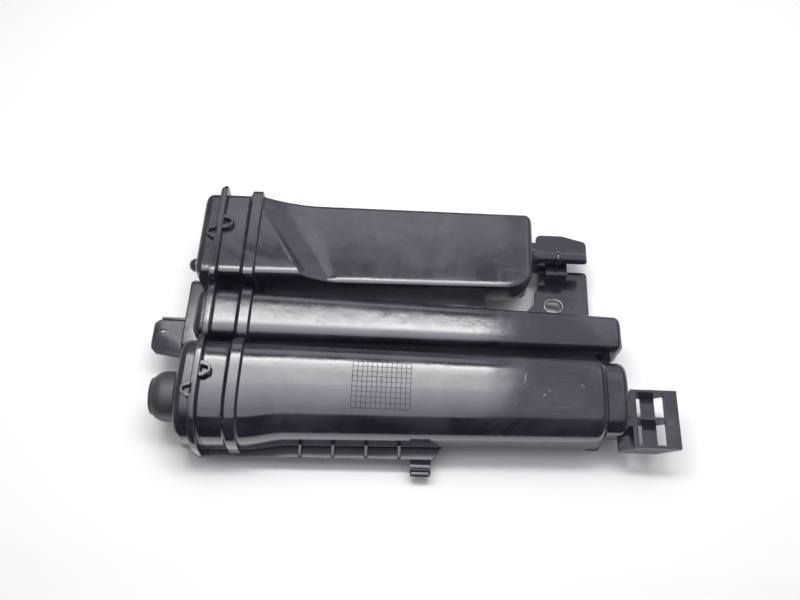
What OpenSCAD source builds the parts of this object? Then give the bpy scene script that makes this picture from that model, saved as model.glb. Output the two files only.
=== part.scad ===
// Charcoal canister for the petrol vapour of a car.
// Three chambers lie side by side in one moulded housing, and a lid is welded over their open left ends.
// While building, X = 0 is the weld plane and +X runs toward the purge port.
// Y = 0 is the centre plane of the middle chamber, and Z = 0 is the plane the canister rests on.
// The whole is moved at the end, so that the origin is the bottom centre of its box.

/* [Chambers] */
// Height of the two large chambers above the rest plane
base_z = 6; // [6:0.5:12]
// Wall thickness of the housing and the lid
wall = 2.5; // [1.8:0.1:3.2]
// Front chamber, length from the weld plane
front_len = 275; // [230:1:320]
// Front chamber, width at the weld plane
front_w = 68; // [60:1:84]
// Front chamber, height at the weld plane
front_h = 50; // [46:1:60]
// Middle chamber, length from the weld plane
middle_len = 288; // [275:1:320]
// Middle chamber, width at the weld plane
middle_w = 37; // [33:1:48]
// Middle chamber, height at the weld plane
middle_h = 41; // [36:1:50]
// Middle chamber, how much higher its underside lies than that of the others
middle_lift = 2; // [0:0.5:5]
// Back chamber, length from the weld plane
back_len = 228; // [200:1:250]
// Back chamber, width at the weld plane
back_w = 67; // [60:1:84]
// Back chamber, height at the weld plane
back_h = 50; // [48:1:60]
// Space between the front and the middle chamber at the weld plane
gap_front = 5; // [3:0.5:6]
// Space between the middle and the back chamber at the weld plane
gap_back = 7; // [4:0.5:8]

/* [Chamber shape] */
// Squareness of the front and the middle section's top, where 2 is an ellipse
top_n = 5; // [4:0.5:6]
// Squareness of the front section's upper quarter on its outer side
near_n = 2.3; // [2.2:0.1:3.4]
// Share of the front section's height below its widest line
front_belly = 0.28; // [0.26:0.02:0.5]
// Squareness of the middle and the back section's lower half and of the plenum
soft_n = 3.4; // [2.8:0.1:5]
// Squareness of the front section's lower half
low_n = 4.4; // [3:0.1:6]
// Squareness of the back section's upper half
hard_n = 9; // [6:0.5:12]
// Narrowing of the front chamber's outer side over its length
front_taper = 7.5; // [2:0.5:10]
// Step of the front chamber's outer side behind the band
front_waist = 3.5; // [0:0.5:5]
// Rise of the front chamber's underside over its length
front_rise = 4; // [1:0.5:6]
// Rise of the back chamber's underside over its length
back_rise = 6; // [1:0.5:8]
// Lowering of the front chamber's top over its length
front_fall = 4; // [1:0.5:7]
// Narrowing of the middle chamber's back side over its length
middle_taper = 8.5; // [2:0.5:9]
// Lowering of the middle chamber's top over its length
middle_fall = 6; // [1:0.5:8]
// Draft of every other side over its length
draft = 2.5; // [1:0.5:4]
// Edge radius of the front chamber's closed end
end_r = 8; // [5:0.5:11]
// Edge radius of the middle chamber's closed end
middle_end_r = 5; // [4.5:0.5:8]
// Edge radius of the back chamber's closed end
back_end_r = 6; // [4.5:0.5:9]
// Edge radius of the back chamber's closed end on its underside
back_low_r = 14; // [8:0.5:16]
// Plan radius of the back chamber's closed end on the side of the middle chamber
back_corner_r = 20; // [12:0.5:26]
// How far the back chamber's top steps down
step_drop = 10.5; // [4:0.5:14]
// Where the step begins on the side of the middle chamber
step_x_near = 62; // [55:1:75]
// Where the step begins on the outer side
step_x_far = 22; // [15:1:45]
// Length of the step's slope
step_run = 28; // [20:1:40]

/* [Weld flange and band] */
// How far the weld flange stands out from the chamber walls
flange_out = 5; // [4:0.5:5.5]
// Thickness of the housing's flange
flange_t = 3; // [2:0.5:5]
// Thickness of the lid's flange
lid_flange_t = 2; // [1.5:0.5:4]
// How far the lid's flange stays back behind the housing's flange
lid_flange_in = 0.8; // [0.4:0.1:1.5]
// Distance of the stiffening band from the weld plane
band_x = 21; // [17:0.5:26]
// Width of the stiffening band
band_w = 8; // [5:0.5:10]
// Height of the stiffening band
band_h = 2.8; // [1.5:0.1:3.2]
// Thickness of the webs between the chambers
web_t = 3; // [2:0.5:5]
// Hole width of the eyelets on the flange
eye_d = 5; // [4:0.5:6]
// Thickness and border of an eyelet
eye_t = 2.2; // [1.6:0.1:3]

/* [Lid] */
// Depth of the lid's lobes outside the weld plane
lid_depth = 14; // [12:0.5:20]
// How much shallower the lid's middle lobe is
lid_mid_drop = 3.5; // [1:0.5:5]
// Edge radius of the lid's lobes
lid_edge_r = 6; // [3:0.5:8]
// Height of the transfer duct on the lid
duct_h = 5.5; // [4:0.5:9]
// Lower side of the transfer duct
duct_z = 16; // [14:0.5:18]
// Size of the transfer duct up and down
duct_t = 20; // [18:0.5:24]
// How far the transfer duct reaches over the back chamber
duct_reach = 6; // [5:0.5:8]
// Length of the tongue on the lid
tongue_len = 22.5; // [14:0.5:30]
// Width of the tongue
tongue_w = 28; // [22:0.5:30]
// Thickness of the tongue
tongue_t = 3; // [2:0.5:4]
// Radius of the knob on the lid
knob_r = 5; // [3:0.5:6]

/* [Vent] */
// Outer radius of the vent stub on the lid
stub_r = 11; // [9:0.5:12]
// Length of the vent stub
stub_len = 12; // [10:0.5:14]
// Outer radius of the vent cap
cap_r = 17.3; // [16:0.5:20]
// Length of the vent cap
cap_len = 19; // [17:0.5:24]
// Slot between the vent cap's rim and the lid
cap_gap = 1.5; // [1:0.5:3]
// Edge radius of the vent cap's closed end
cap_edge_r = 11; // [6:0.5:13]
// Wall of the vent cap
cap_wall = 2; // [1.5:0.1:2.5]

/* [Purge port] */
// Outer radius of the port, for the usual 7.89 mm quick connector
port_r = 3.945; // [3:0.005:5]
// Bore radius of the port
port_bore_r = 2.7; // [1.5:0.1:2.8]
// Length of the port from the chamber's closed end
port_len = 40; // [34:0.5:60]
// Distance from the port's tip to its bead
bead_x = 20.5; // [15:0.5:25]
// Height of the bead above the port
bead_h = 1; // [0.6:0.1:1.5]
// Height of the port's axis
port_z = 34; // [32:0.5:36]

/* [Rear plate] */
// Start of the rear plate behind the back chamber's closed end
plate_gap = 7; // [5:0.5:10]
// Length of the rear plate
plate_l = 37; // [32:0.5:42]
// Thickness of the rear plate
plate_t = 4; // [3:0.5:5]
// Upper side of the rear plate
plate_z = 14; // [12:0.5:18]
// Length of the mounting slot, inside its sleeve
slot_l = 11.4; // [9:0.1:13]
// Width of the mounting slot
slot_w = 8.6; // [6:0.1:9]
// Wall of the steel sleeve in the mounting slot
sleeve_t = 1.3; // [0.8:0.1:1.6]
// How far the steel sleeve stands out of the rear plate
sleeve_up = 0.4; // [0.2:0.1:1]
// Depth of the collar around the mounting slot
slot_deep = 10; // [6:0.5:11]
// Length of the guard plate under the port
guard_l = 43; // [36:0.5:48]
// Thickness of the guard plate
guard_t = 3; // [2:0.5:4]

/* [End bracket] */
// Length of the plenum on the front chamber's closed end
plenum_l = 14; // [10:0.5:20]
// How far the plenum stands back behind the chamber's sides
plenum_in = 5; // [3:0.5:7]
// Length of the end bracket
bracket_l = 31.5; // [28:0.5:38]
// Width of the end bracket
bracket_w = 41.5; // [34:0.5:46]
// Depth of the end bracket
bracket_h = 13; // [9:0.5:16]
// Upper side of the end bracket
bracket_z = 33; // [30:0.5:35]
// Width of the end bracket's solid right border
bracket_border = 9.5; // [7:0.5:11]

/* [Ledge and clip] */
// How far the ledge stands out from the front chamber at its right end
ledge_out = 8; // [6:0.5:11]
// Length of the ledge from the weld plane
ledge_l = 159; // [145:1:170]
// Thickness of the ledge
ledge_t = 3; // [2:0.5:4]
// Upper side of the ledge
ledge_z = 15; // [14:0.5:18]
// Number of ribs on the ledge
rib_n = 4; // [2:1:6]
// Spacing of the ribs
rib_pitch = 22.5; // [14:0.5:24]
// Inner radius of the cable clip
clip_r = 4; // [3.5:0.1:5]
// Wall of the cable clip
clip_t = 1.8; // [1.5:0.1:2.5]
// Width of the cable clip
clip_w = 14; // [8:0.5:16]

/* [Inside] */
// Clearance of the inner pieces to the walls
clear = 0.3; // [0.2:0.05:0.5]
// Distance of the pressure plates from the weld plane
press_x = 8; // [6:0.5:12]
// Thickness of the pressure plates
press_t = 4; // [3:0.5:6]
// Window width in the pressure plates
window_w = 5; // [3:0.5:6]
// Thickness of the fleece pads under the pressure plates
pad_t = 5; // [3:0.5:8]
// Thickness of the foam pads at the closed ends
foam_t = 12; // [10:0.5:16]
// Coil radius of the springs in the large chambers
spring_r = 9; // [7:0.5:9.5]
// Coil radius of the spring in the middle chamber
small_spring_r = 7; // [5.5:0.5:8]
// Wire radius of the springs
wire_r = 0.9; // [0.6:0.1:1.1]
// Distance of the two springs from the centre of a large chamber
spring_y = 18; // [17.5:0.5:19]
// Turns of a spring
spring_turns = 4; // [3:0.5:5]

/* [Hidden] */

$fn = 64;
ring_n = 40;
black = [0.06, 0.06, 0.065];
carbon = [0.03, 0.03, 0.03];
fleece = [0.82, 0.81, 0.77];
foam = [0.25, 0.26, 0.28];
steel = [0.6, 0.61, 0.63];

// Side positions of the chambers at the weld plane
mid_y0 = -middle_w / 2;
mid_y1 = middle_w / 2;
fr_y1 = mid_y0 - gap_front;
fr_y0 = fr_y1 - front_w;
bk_y0 = mid_y1 + gap_back;
bk_y1 = bk_y0 + back_w;
fr_yc = (fr_y0 + fr_y1) / 2;
bk_yc = (bk_y0 + bk_y1) / 2;
fr_zc = base_z + front_h / 2;
bk_zc = base_z + back_h / 2;
mid_z0 = base_z + middle_lift;
mid_z1 = mid_z0 + middle_h;
mid_zc = (mid_z0 + mid_z1) / 2;

// A chamber: length, squareness above and below, four sides at the weld plane, the same at the closed end,
// four end radii, the step of its top, the waist of its -Y side, the squareness above on that side
// and the share of its height below the widest line. The sides are in the order -Y, +Y, below, above.
front = [front_len, top_n, low_n,
    [fr_y0, fr_y1, base_z, base_z + front_h],
    [fr_y0 + front_taper, fr_y1 - draft, base_z + front_rise, base_z + front_h - front_fall],
    [end_r, end_r, end_r, end_r], 0, front_waist, near_n, front_belly];
middle = [middle_len, top_n, soft_n,
    [mid_y0, mid_y1, mid_z0, mid_z1],
    [mid_y0 + draft, mid_y1 - middle_taper, mid_z0 + draft, mid_z1 - middle_fall],
    [middle_end_r, middle_end_r, middle_end_r, middle_end_r], 0, 0, top_n, 0.5];
back = [back_len, hard_n, soft_n,
    [bk_y0, bk_y1, base_z, base_z + back_h],
    [bk_y0 + draft, bk_y1 - draft, base_z + back_rise, base_z + back_h],
    [back_corner_r, back_end_r, back_low_r, back_end_r], step_drop, 0, hard_n, 0.5];

// How far a rounded end has come in at x
function round_in(x, end, r) = x <= end - r ? 0 : r - sqrt(max(0, r * r - pow(x - end + r, 2)));
// How far a bevelled end has come in at x
function bevel_in(x, end, r) = max(0, x - end + r);
// A number held between 0 and 1
function unit(u) = min(1, max(0, u));
// A soft rise from 0 to 1
function smooth(u) = let (v = unit(u)) v * v * (3 - 2 * v);
// The waist and the step begin behind the band
waist_x = band_x + band_w;
waist_run = 32;
// One side of a chamber at x
function side(ch, x, k) = ch[3][k] + (ch[4][k] - ch[3][k]) * x / ch[0]
    + (k == 0 ? ch[7] * smooth((x - waist_x) / waist_run) : 0);
// Which way is inward from a side
function inward(k) = k % 2 == 0 ? 1 : -1;
// Four sides of the outside at x with a rounded end, moved in by d
function outer(ch, x, d) = [for (k = [0:3]) side(ch, x, k) + inward(k) * (d + round_in(x, ch[0], ch[5][k]))];
// Four sides of the inside at x with a bevelled end, moved in by d
function inner(ch, x, d) = [for (k = [0:3]) side(ch, x, k) + inward(k) * (d + bevel_in(x, ch[0], ch[5][k]))];
// How far the back chamber's top has stepped down
step_more = 15;
function step_at(drop, x, y) = let (f = (y - bk_y0) / back_w,
    from = max(waist_x, step_x_near + (step_x_far - step_x_near) * f),
    u = unit((x - from) / (step_run + step_more * f))) drop * (1 - pow(1 - u, 2));
// One coordinate of a section, from -1 to 1
function bulge(c, n) = sign(c) * pow(abs(c), 2 / n);
// Points of a section from its four sides
function section(ch, x, s) = let (yc = (s[0] + s[1]) / 2, zc = s[2] + (s[3] - s[2]) * ch[9], a = (s[1] - s[0]) / 2)
    [for (i = [0 : ring_n - 1]) let (t = 360 * i / ring_n, n = t <= 90 ? ch[1] : t <= 180 ? ch[8] : ch[2],
    b = t <= 180 ? s[3] - zc : zc - s[2], y = yc + a * bulge(cos(t), n), k = bulge(sin(t), n))
    [x, y, zc + b * k - max(0, k) * (ch[6] > 0 ? step_at(ch[6], x, y) : 0)]];
// The same points as a flat outline in Y and Z
function flat(ring) = [for (p = ring) [p[1], p[2]]];
// The same points moved to another x
function at_x(ring, x) = [for (p = ring) [x, p[1], p[2]]];
// Stations along a rounded end, along the step and along the waist
function arc_x(end, r) = [for (u = [0:15:90]) end - r + r * sin(u)];
step_n = 12;
step_end = step_x_near + step_run;
step_xs = [for (i = [0:step_n]) waist_x + (step_end - waist_x) * i / step_n];
waist_xs = [for (i = [0:5]) waist_x + waist_run * i / 5];
function mid_xs(ch) = ch[6] > 0 ? step_xs : ch[7] > 0 ? waist_xs : [];
// Least distance between two stations
least = 0.4;
// Stations where the bevels of a chamber's closed end begin, in order along +X
function end_xs(ch) = let (r = ch[5][1], big = max(ch[5][0], ch[5][2]), small = min(ch[5][0], ch[5][2]))
    concat(big > r + least ? [ch[0] - big] : [],
    small > r + least && small < big - least ? [ch[0] - small] : [], [ch[0] - r]);
// Stations of a chamber's inside from x0 to its end wall at distance d
function inside_xs(ch, x0, d) = concat([x0],
    [for (x = concat(mid_xs(ch), end_xs(ch), [ch[0] - d])) if (x > x0 + least) x]);

// Joins rings of points to a closed solid, along +X
module loft(rings) {
    n = len(rings[0]);
    m = len(rings);
    first = [for (i = [0 : n - 1]) i];
    last = [for (i = [n - 1 : -1 : 0]) (m - 1) * n + i];
    sides = [for (j = [0 : m - 2], i = [0 : n - 1], h = [0, 1]) let (a = j * n, b = a + n, k = (i + 1) % n)
        h == 0 ? [a + i, b + i, b + k] : [a + i, b + k, a + k]];
    polyhedron([for (r = rings) each r], concat([first, last], sides));
}

// Extrudes an outline drawn in Y and Z from x0 to x1
module slab(x0, x1) {
    translate([x0, 0, 0]) rotate([90, 0, 90]) linear_extrude(x1 - x0) children();
}

// Extrudes an outline drawn in X and Y from z0 to z1
module sheet(z0, z1) {
    translate([0, 0, z0]) linear_extrude(z1 - z0) children();
}

// Extrudes an outline drawn in X and Z from y0 to y1
module wall_piece(y0, y1) {
    translate([0, y1, 0]) rotate([90, 0, 0]) linear_extrude(y1 - y0) children();
}

// A cylinder along X
module rod(x0, x1, y, z, r) {
    translate([x0, y, z]) rotate([0, 90, 0]) cylinder(h = x1 - x0, r = r);
}

// A box from one corner to the other
module box(p, q) {
    translate(p) cube(q - p);
}

module chamber_outside(ch) {
    xs = concat([0], mid_xs(ch), arc_x(ch[0], max(ch[5])));
    loft([for (x = xs) section(ch, x, outer(ch, x, 0))]);
}

module chamber_inside(ch, x0, d) {
    loft([for (x = inside_xs(ch, x0, d)) section(ch, x, inner(ch, x, d))]);
}

// Outline of one chamber at the weld plane, grown by d
module chamber_outline(ch, d) {
    polygon(flat(section(ch, 0, outer(ch, 0, -d))));
}

module outline(d) {
    chamber_outline(front, d);
    chamber_outline(middle, d);
    chamber_outline(back, d);
}

// A six-sided eyelet lying flat, its root at the origin and its tip toward +X
module eyelet() {
    root = 0.5;
    half = eye_d / 2 + eye_t + 1;
    tip = eye_d + eye_t;
    difference() {
        linear_extrude(eye_t) polygon([[-root, -half], [0.45 * half, -half], [tip, -0.4 * half],
            [tip, 0.4 * half], [0.45 * half, half], [-root, half]]);
        translate([0, 0, -1]) linear_extrude(eye_t + 2) polygon([[0.2, -eye_d / 2], [0.3 * half, -eye_d / 2],
            [eye_d, -0.25 * half], [eye_d, 0.25 * half], [0.3 * half, eye_d / 2], [0.2, eye_d / 2]]);
    }
}

// Heights of the eyelets on the flange's upper and lower rim
eye_top = base_z + front_h + flange_out - eye_t - 1;
eye_top_back = base_z + back_h + flange_out - eye_t - 1;
eye_low = base_z - flange_out + 1;

module housing_eyelets() {
    translate([flange_t, fr_yc + 8, eye_top]) eyelet();
    translate([flange_t, bk_yc + 7, eye_top_back]) eyelet();
    translate([flange_t, fr_yc - 12, eye_low]) eyelet();
    translate([flange_t, bk_yc - 6, eye_low]) eyelet();
}

module lid_eyelets() {
    x = 1 - lid_flange_t;
    translate([x, fr_yc - 6.5, eye_top - lid_flange_in]) mirror([1, 0, 0]) eyelet();
    translate([x, bk_yc - 1, eye_top_back - lid_flange_in]) mirror([1, 0, 0]) eyelet();
}

// Webs that join the chambers along their middle height
module webs() {
    web_z = fr_zc - 6;
    front_end = front_len + 5;
    corner_r = 8;
    back_stop = 34;
    into = 6;
    sheet(web_z, web_z + web_t) {
        translate([0, fr_y1 - into]) square([front_end - corner_r, gap_front + 2 * into]);
        translate([front_end - corner_r, fr_y1 - into]) square([corner_r, into - draft]);
        translate([front_end - corner_r, fr_y1 - draft]) intersection() {
            circle(r = corner_r);
            square(corner_r);
        }
    }
    box([0, mid_y1 - into - 4, web_z], [back_len - back_stop, bk_y0 + into, web_z + web_t]);
}

// Plenum on the front chamber's closed end, and the duct from it to the middle chamber
plenum_end = front_len + plenum_l;
plenum_r = 6;
plenum_flush = -1;
plenum_from = outer(front, front_len - end_r, 0);
plenum_sides = [plenum_from[0] + plenum_in, plenum_from[1] - plenum_flush,
    plenum_from[2] + plenum_in, plenum_from[3] - plenum_in];
plenum = [plenum_end, soft_n, soft_n, plenum_sides, plenum_sides, [plenum_r, plenum_r, plenum_r, plenum_r],
    0, 0, near_n, 0.5];
seat_w = 9;
cross_r = 3;
cross_wall = 1.8;
cross_x = min(front_len + 5, middle_len - middle_end_r - cross_r - 0.5);
cross_z = mid_z0 + 10;

module plenum_outside() {
    xs = concat([front_len - plenum_r], arc_x(plenum_end, plenum_r));
    loft([for (x = xs) section(plenum, x, outer(plenum, x, 0))]);
    cross_duct(plenum_sides[1] - 12, mid_y0 + draft + 7, cross_r + cross_wall);
}

module plenum_inside() {
    slab(front_len - wall - 1, front_len + 1) polygon(flat(section(plenum, 0, outer(plenum, 0, seat_w))));
    slab(front_len, plenum_end - wall) polygon(flat(section(plenum, 0, outer(plenum, 0, wall + 0.5))));
    cross_duct(plenum_sides[1] - 13, mid_y0 + draft + 8, cross_r);
}

module cross_duct(y0, y1, r) {
    translate([cross_x, y0, cross_z]) rotate([-90, 0, 0]) cylinder(h = y1 - y0, r = r);
}

// Ledge with ribs and a cable clip along the front chamber's foot
ledge_x0 = flange_t - 1;
ledge_x1 = ledge_l;
ledge_y0 = fr_y0 - flange_out + 1.4;
ledge_y = side(front, ledge_x1, 0) - ledge_out;
// Outer edge of the ledge at x
function ledge_edge(x) = ledge_y0 + (ledge_y - ledge_y0) * (x - ledge_x0) / (ledge_x1 - ledge_x0);
ledge_root = fr_y0 + 14;
clip_x = ledge_x1 - 0.5 * clip_w - 1;
clip_y = ledge_y - clip_r - 0.3;
clip_z = ledge_z - clip_r - clip_t;

module ledge() {
    run_out = 10;
    first_rib = 24;
    rib_t = 2.6;
    rib_h = 12;
    sheet(ledge_z - ledge_t, ledge_z) polygon([[ledge_x0, ledge_root], [ledge_x0, ledge_y0],
        [ledge_x1, ledge_y], [ledge_x1 + run_out, ledge_root]]);
    for (i = [0 : rib_n - 1]) {
        x = ledge_x1 - first_rib - rib_pitch * i;
        y = ledge_edge(x) + 0.8;
        slab(x, x + rib_t) polygon([[ledge_root, ledge_z - 1], [y, ledge_z - 1],
            [y, ledge_z + 0.6], [ledge_root - 4, ledge_z + rib_h], [ledge_root, ledge_z + rib_h]]);
    }
}

module clip() {
    slab(clip_x - clip_w / 2, clip_x + clip_w / 2) difference() {
        union() {
            translate([clip_y, clip_z]) circle(r = clip_r + clip_t);
            translate([clip_y, clip_z + clip_r]) square([clip_r + 4, clip_t]);
        }
        translate([clip_y, clip_z]) circle(r = clip_r);
        translate([clip_y, clip_z]) rotate(-135) square(3 * clip_r);
    }
}

// Rear plate with its slot and block, and the guard plate, behind the back chamber's closed end
rear_x0 = back_len + plate_gap;
rear_x1 = rear_x0 + plate_l;
rear_y1 = bk_yc + 1;
slot_x = rear_x0 + 11;
slot_y = bk_y0 + 5;
port_y = bk_yc + 1;
sleeve_fit = 0.02;
guard_z = plate_z + 10;

module slot_shape(grow) {
    for (s = [-1, 1]) {
        translate([s * (slot_l - slot_w) / 2, 0]) circle(r = slot_w / 2 + grow);
    }
    square([slot_l - slot_w, slot_w + 2 * grow], center = true);
}

module rear_plate() {
    collar = 2;
    root_y = mid_y1 - middle_taper - 6;
    low = plate_z - plate_t;
    sheet(low, plate_z) polygon([[rear_x0, rear_y1], [rear_x1 - 2, rear_y1], [rear_x1, rear_y1 - 2],
        [rear_x1, root_y], [rear_x0 - 22, root_y], [rear_x0 - 15, bk_y0 - 6], [rear_x0 - 10, bk_y0 - 1],
        [rear_x0 - 3, bk_y0 + 6], [rear_x0 - 2.5, bk_y0 + 16], [rear_x0, bk_y0 + 19]]);
    translate([slot_x, slot_y, plate_z - slot_deep]) linear_extrude(slot_deep) slot_shape(sleeve_t + collar);
    box([rear_x0, rear_y1 - 15, low], [rear_x0 + 5, port_y + 2, plate_z + 5]);
    box([rear_x0 + 4, rear_y1 - 11, low], [rear_x0 + 20, port_y + 2, plate_z + 14]);
}

module guard() {
    low = guard_z - guard_t;
    x0 = back_len + 5;
    x1 = back_len + guard_l;
    front_y = port_y + 3;
    sheet(low, guard_z) polygon([[x0, front_y - 4], [x0, bk_y1 - 10], [x0 + 2, bk_y1 - 7], [x0 + 21, bk_y1 - 7.5],
        [x1 - 2, bk_y1 - 11.5], [x1, bk_y1 - 14], [x1, front_y], [rear_x0 + 20, front_y], [rear_x0 + 20, front_y - 4]]);
    box([back_len - 4, front_y - 3, plate_z - plate_t], [x0 + 4, bk_y1 - 13, guard_z]);
}

module port() {
    tip = back_len + port_len;
    bead_w = 3.6;
    root_r = 9;
    root_l = 12;
    rod(back_len - 6, tip - 1, port_y, port_z, port_r);
    translate([tip - 1, port_y, port_z]) rotate([0, 90, 0]) cylinder(h = 1, r1 = port_r, r2 = port_r - 0.6);
    translate([tip - bead_x - bead_w / 2, port_y, port_z]) rotate([0, 90, 0]) rotate_extrude()
        polygon([[0, 0], [port_r, 0], [port_r + bead_h, bead_w / 4], [port_r + bead_h, bead_w / 2],
            [port_r, bead_w], [0, bead_w]]);
    translate([back_len - 4, port_y, port_z]) rotate([0, 90, 0]) cylinder(h = root_l, r1 = root_r, r2 = port_r);
}

// Bracket on the plenum's end, with two open pockets
bracket_x0 = plenum_end + 3.5;
bracket_x1 = bracket_x0 + bracket_l;
bracket_yc = (side(front, front_len, 0) + side(front, front_len, 1)) / 2 - 9;
bracket_y0 = bracket_yc - bracket_w / 2;
bracket_y1 = bracket_yc + bracket_w / 2;
bracket_low = bracket_z - bracket_h;
rim = 2;
left_rim = 3.5;

module bracket() {
    strip_x = bracket_x0 + left_rim + 5.5;
    difference() {
        wall_piece(bracket_y0, bracket_y1) polygon([[bracket_x0, bracket_low], [bracket_x1 - 15, bracket_low],
            [bracket_x1, bracket_z - 3], [bracket_x1, bracket_z], [bracket_x0, bracket_z]]);
        bracket_pocket(bracket_y0 + rim, bracket_yc - rim / 2);
        bracket_pocket(bracket_yc + rim / 2, bracket_y1 - rim);
    }
    box([plenum_end - 4, bracket_yc - 6, bracket_low], [bracket_x0 + 1, bracket_y1 - 1, bracket_z - 1]);
    box([strip_x, bracket_y0 + 1, bracket_low], [strip_x + 9.5, bracket_y1 - 1, bracket_low + 2.5]);
    wall_piece(bracket_y0, bracket_y0 + rim) polygon([[bracket_x0 - 8.5, bracket_low],
        [bracket_x0 + 1, bracket_low], [bracket_x0 + 1, bracket_z - 3], [bracket_x0 - 8.5, bracket_z - 8]]);
    box([bracket_x0 - 8.5, bracket_y0, bracket_low], [bracket_x0 + 1, bracket_yc, bracket_low + 2.5]);
}

// One pocket, which goes on under the border's top plate
module bracket_pocket(y0, y1) {
    x0 = bracket_x0 + left_rim;
    border_t = 3;
    box([x0, y0, bracket_low - 1], [bracket_x1 - bracket_border, y1, bracket_z + 1]);
    box([x0, y0, bracket_low - 1], [bracket_x1 - rim, y1, bracket_z - border_t]);
}

// Feet under the chambers
module feet() {
    left = waist_x + 5;
    foot_l = 12;
    foot_w = 16;
    foot_in = 12.5;
    foot_side = 18.5;
    up = 7;
    foot([left, fr_yc + 2], [foot_l, foot_w], base_z + up);
    foot([left, bk_yc - foot_w / 2], [foot_l, foot_w], base_z + up);
    foot([front_len - foot_l + 3, plenum_sides[0]], [foot_l - 3, foot_w], base_z + front_rise + 2 * up);
    foot([back_len - foot_in, bk_y0 + foot_side], [foot_l, foot_w], base_z + back_rise + up);
}

module foot(corner, size, top) {
    translate([corner[0], corner[1], 0]) cube([size[0], size[1], top]);
}

module bands() {
    slab(0, flange_t) outline(flange_out);
    slab(band_x, band_x + band_w) outline(band_h);
}

module middle_nub() {
    nub_y = mid_y0 + draft + 6;
    box([middle_len - 3, nub_y, mid_zc - 8], [middle_len + 2.5, nub_y + 8, mid_zc + 2]);
}

// Lid positions
lid_end = -lid_depth;
lid_floor = lid_end + wall;
mid_depth = lid_depth - lid_mid_drop;
mid_floor = -mid_depth + wall;
duct_end = lid_end - duct_h;
duct_y0 = mid_y0 - 7;
duct_y1 = bk_y0 + duct_reach;
tongue_tip = duct_end - tongue_len;
vent_y = fr_yc - 1.5;
vent_z = fr_zc - 1;
cap_x = lid_end - cap_gap;

// Moves a piece so that the origin is the bottom centre of the whole canister's box
x_left = min(tongue_tip, cap_x - cap_len);
x_right = bracket_x1;
y_front = clip_y - clip_r - clip_t;
y_back = bk_y1 + flange_out;

module place() {
    translate([-(x_left + x_right) / 2, -(y_front + y_back) / 2, 0]) children();
}

// Moulded housing of the three chambers with all that is moulded on to it
module housing() {
    place() color(black) difference() {
        union() {
            chamber_outside(front);
            chamber_outside(middle);
            chamber_outside(back);
            plenum_outside();
            bands();
            webs();
            housing_eyelets();
            ledge();
            clip();
            rear_plate();
            guard();
            port();
            bracket();
            feet();
            middle_nub();
        }
        chamber_inside(front, -1, wall);
        chamber_inside(middle, -1, wall);
        chamber_inside(back, -1, wall);
        plenum_inside();
        rod(back_len - wall - 1, back_len + port_len + 1, port_y, port_z, port_bore_r);
        translate([slot_x, slot_y, plate_z - slot_deep - 1]) linear_extrude(slot_deep + 4)
            slot_shape(sleeve_t + sleeve_fit);
    }
}

// Steel sleeve pressed into the mounting slot, which takes the load of the screw
module slot_sleeve() {
    place() color(steel) translate([slot_x, slot_y, plate_z - slot_deep]) difference() {
        linear_extrude(slot_deep + sleeve_up) slot_shape(sleeve_t);
        translate([0, 0, -1]) linear_extrude(slot_deep + sleeve_up + 2) slot_shape(0);
    }
}

// One lobe of the lid, a shallow cap with a rounded edge
module lobe(ch, depth) {
    ss = concat([for (u = [90:-15:0]) depth - lid_edge_r + lid_edge_r * sin(u)], [1]);
    loft([for (s = ss) at_x(section(ch, 0, outer(ch, 0, round_in(s, depth, lid_edge_r))), -s)]);
}

module lobe_space(ch, depth) {
    slab(wall - depth, 1) chamber_outline(ch, -wall - 1.5);
}

module duct() {
    c = 4;
    top = duct_z + duct_t;
    slab(duct_end, 1 - lid_flange_t) polygon([[duct_y0 + c, duct_z], [duct_y1 - c, duct_z], [duct_y1, duct_z + c],
        [duct_y1, top - c], [duct_y1 - c, top], [duct_y0 + c, top], [duct_y0, top - c], [duct_y0, duct_z + c]]);
}

// Way for the vapour from the middle lobe over into the back lobe
module duct_space() {
    side_wall = 4;
    low = duct_z + side_wall;
    high = duct_z + duct_t - side_wall;
    from_y = small_spring_r + wire_r + 1.6;
    box([duct_end + wall, from_y, low], [mid_floor + 1, mid_y1 - wall - 1.5, high]);
    box([duct_end + wall, mid_y1 - wall - 2, low], [-mid_depth + 1, duct_y1 - wall - 0.5, high]);
    box([lid_floor - 1, mid_y1 - wall - 2, low], [mid_floor, bk_y0 + wall + 3, high]);
}

module tongue() {
    y1 = mid_y1 - 19;
    y0 = y1 - tongue_w;
    top = duct_z + 14;
    low = top - tongue_t;
    fold = 9;
    fall = 5;
    hole = [tongue_tip + 5, y1 - 9.5];
    difference() {
        intersection() {
            slab(tongue_tip, lid_end + 2) polygon([[y1, top], [y0 + fold, top], [y0, top - fall],
                [y0 + 1, low - fall], [y0 + fold + 1, low], [y1, low]]);
            sheet(low - 2 * fall, top + 1) polygon([[lid_end + 2, y1], [tongue_tip + 3, y1], [tongue_tip, y1 - 3],
                [tongue_tip, y0 + 6.5], [tongue_tip + 3, y0 + 3.5], [lid_end + 2, y0 - 1]]);
        }
        box([hole[0], hole[1], low - 1], [hole[0] + 3.4, hole[1] + 2, top + 1]);
    }
    box([tongue_tip + 5, y1 - 0.5, low], [duct_end + 1, y1 + 1.5, top + 1.5]);
}

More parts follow.
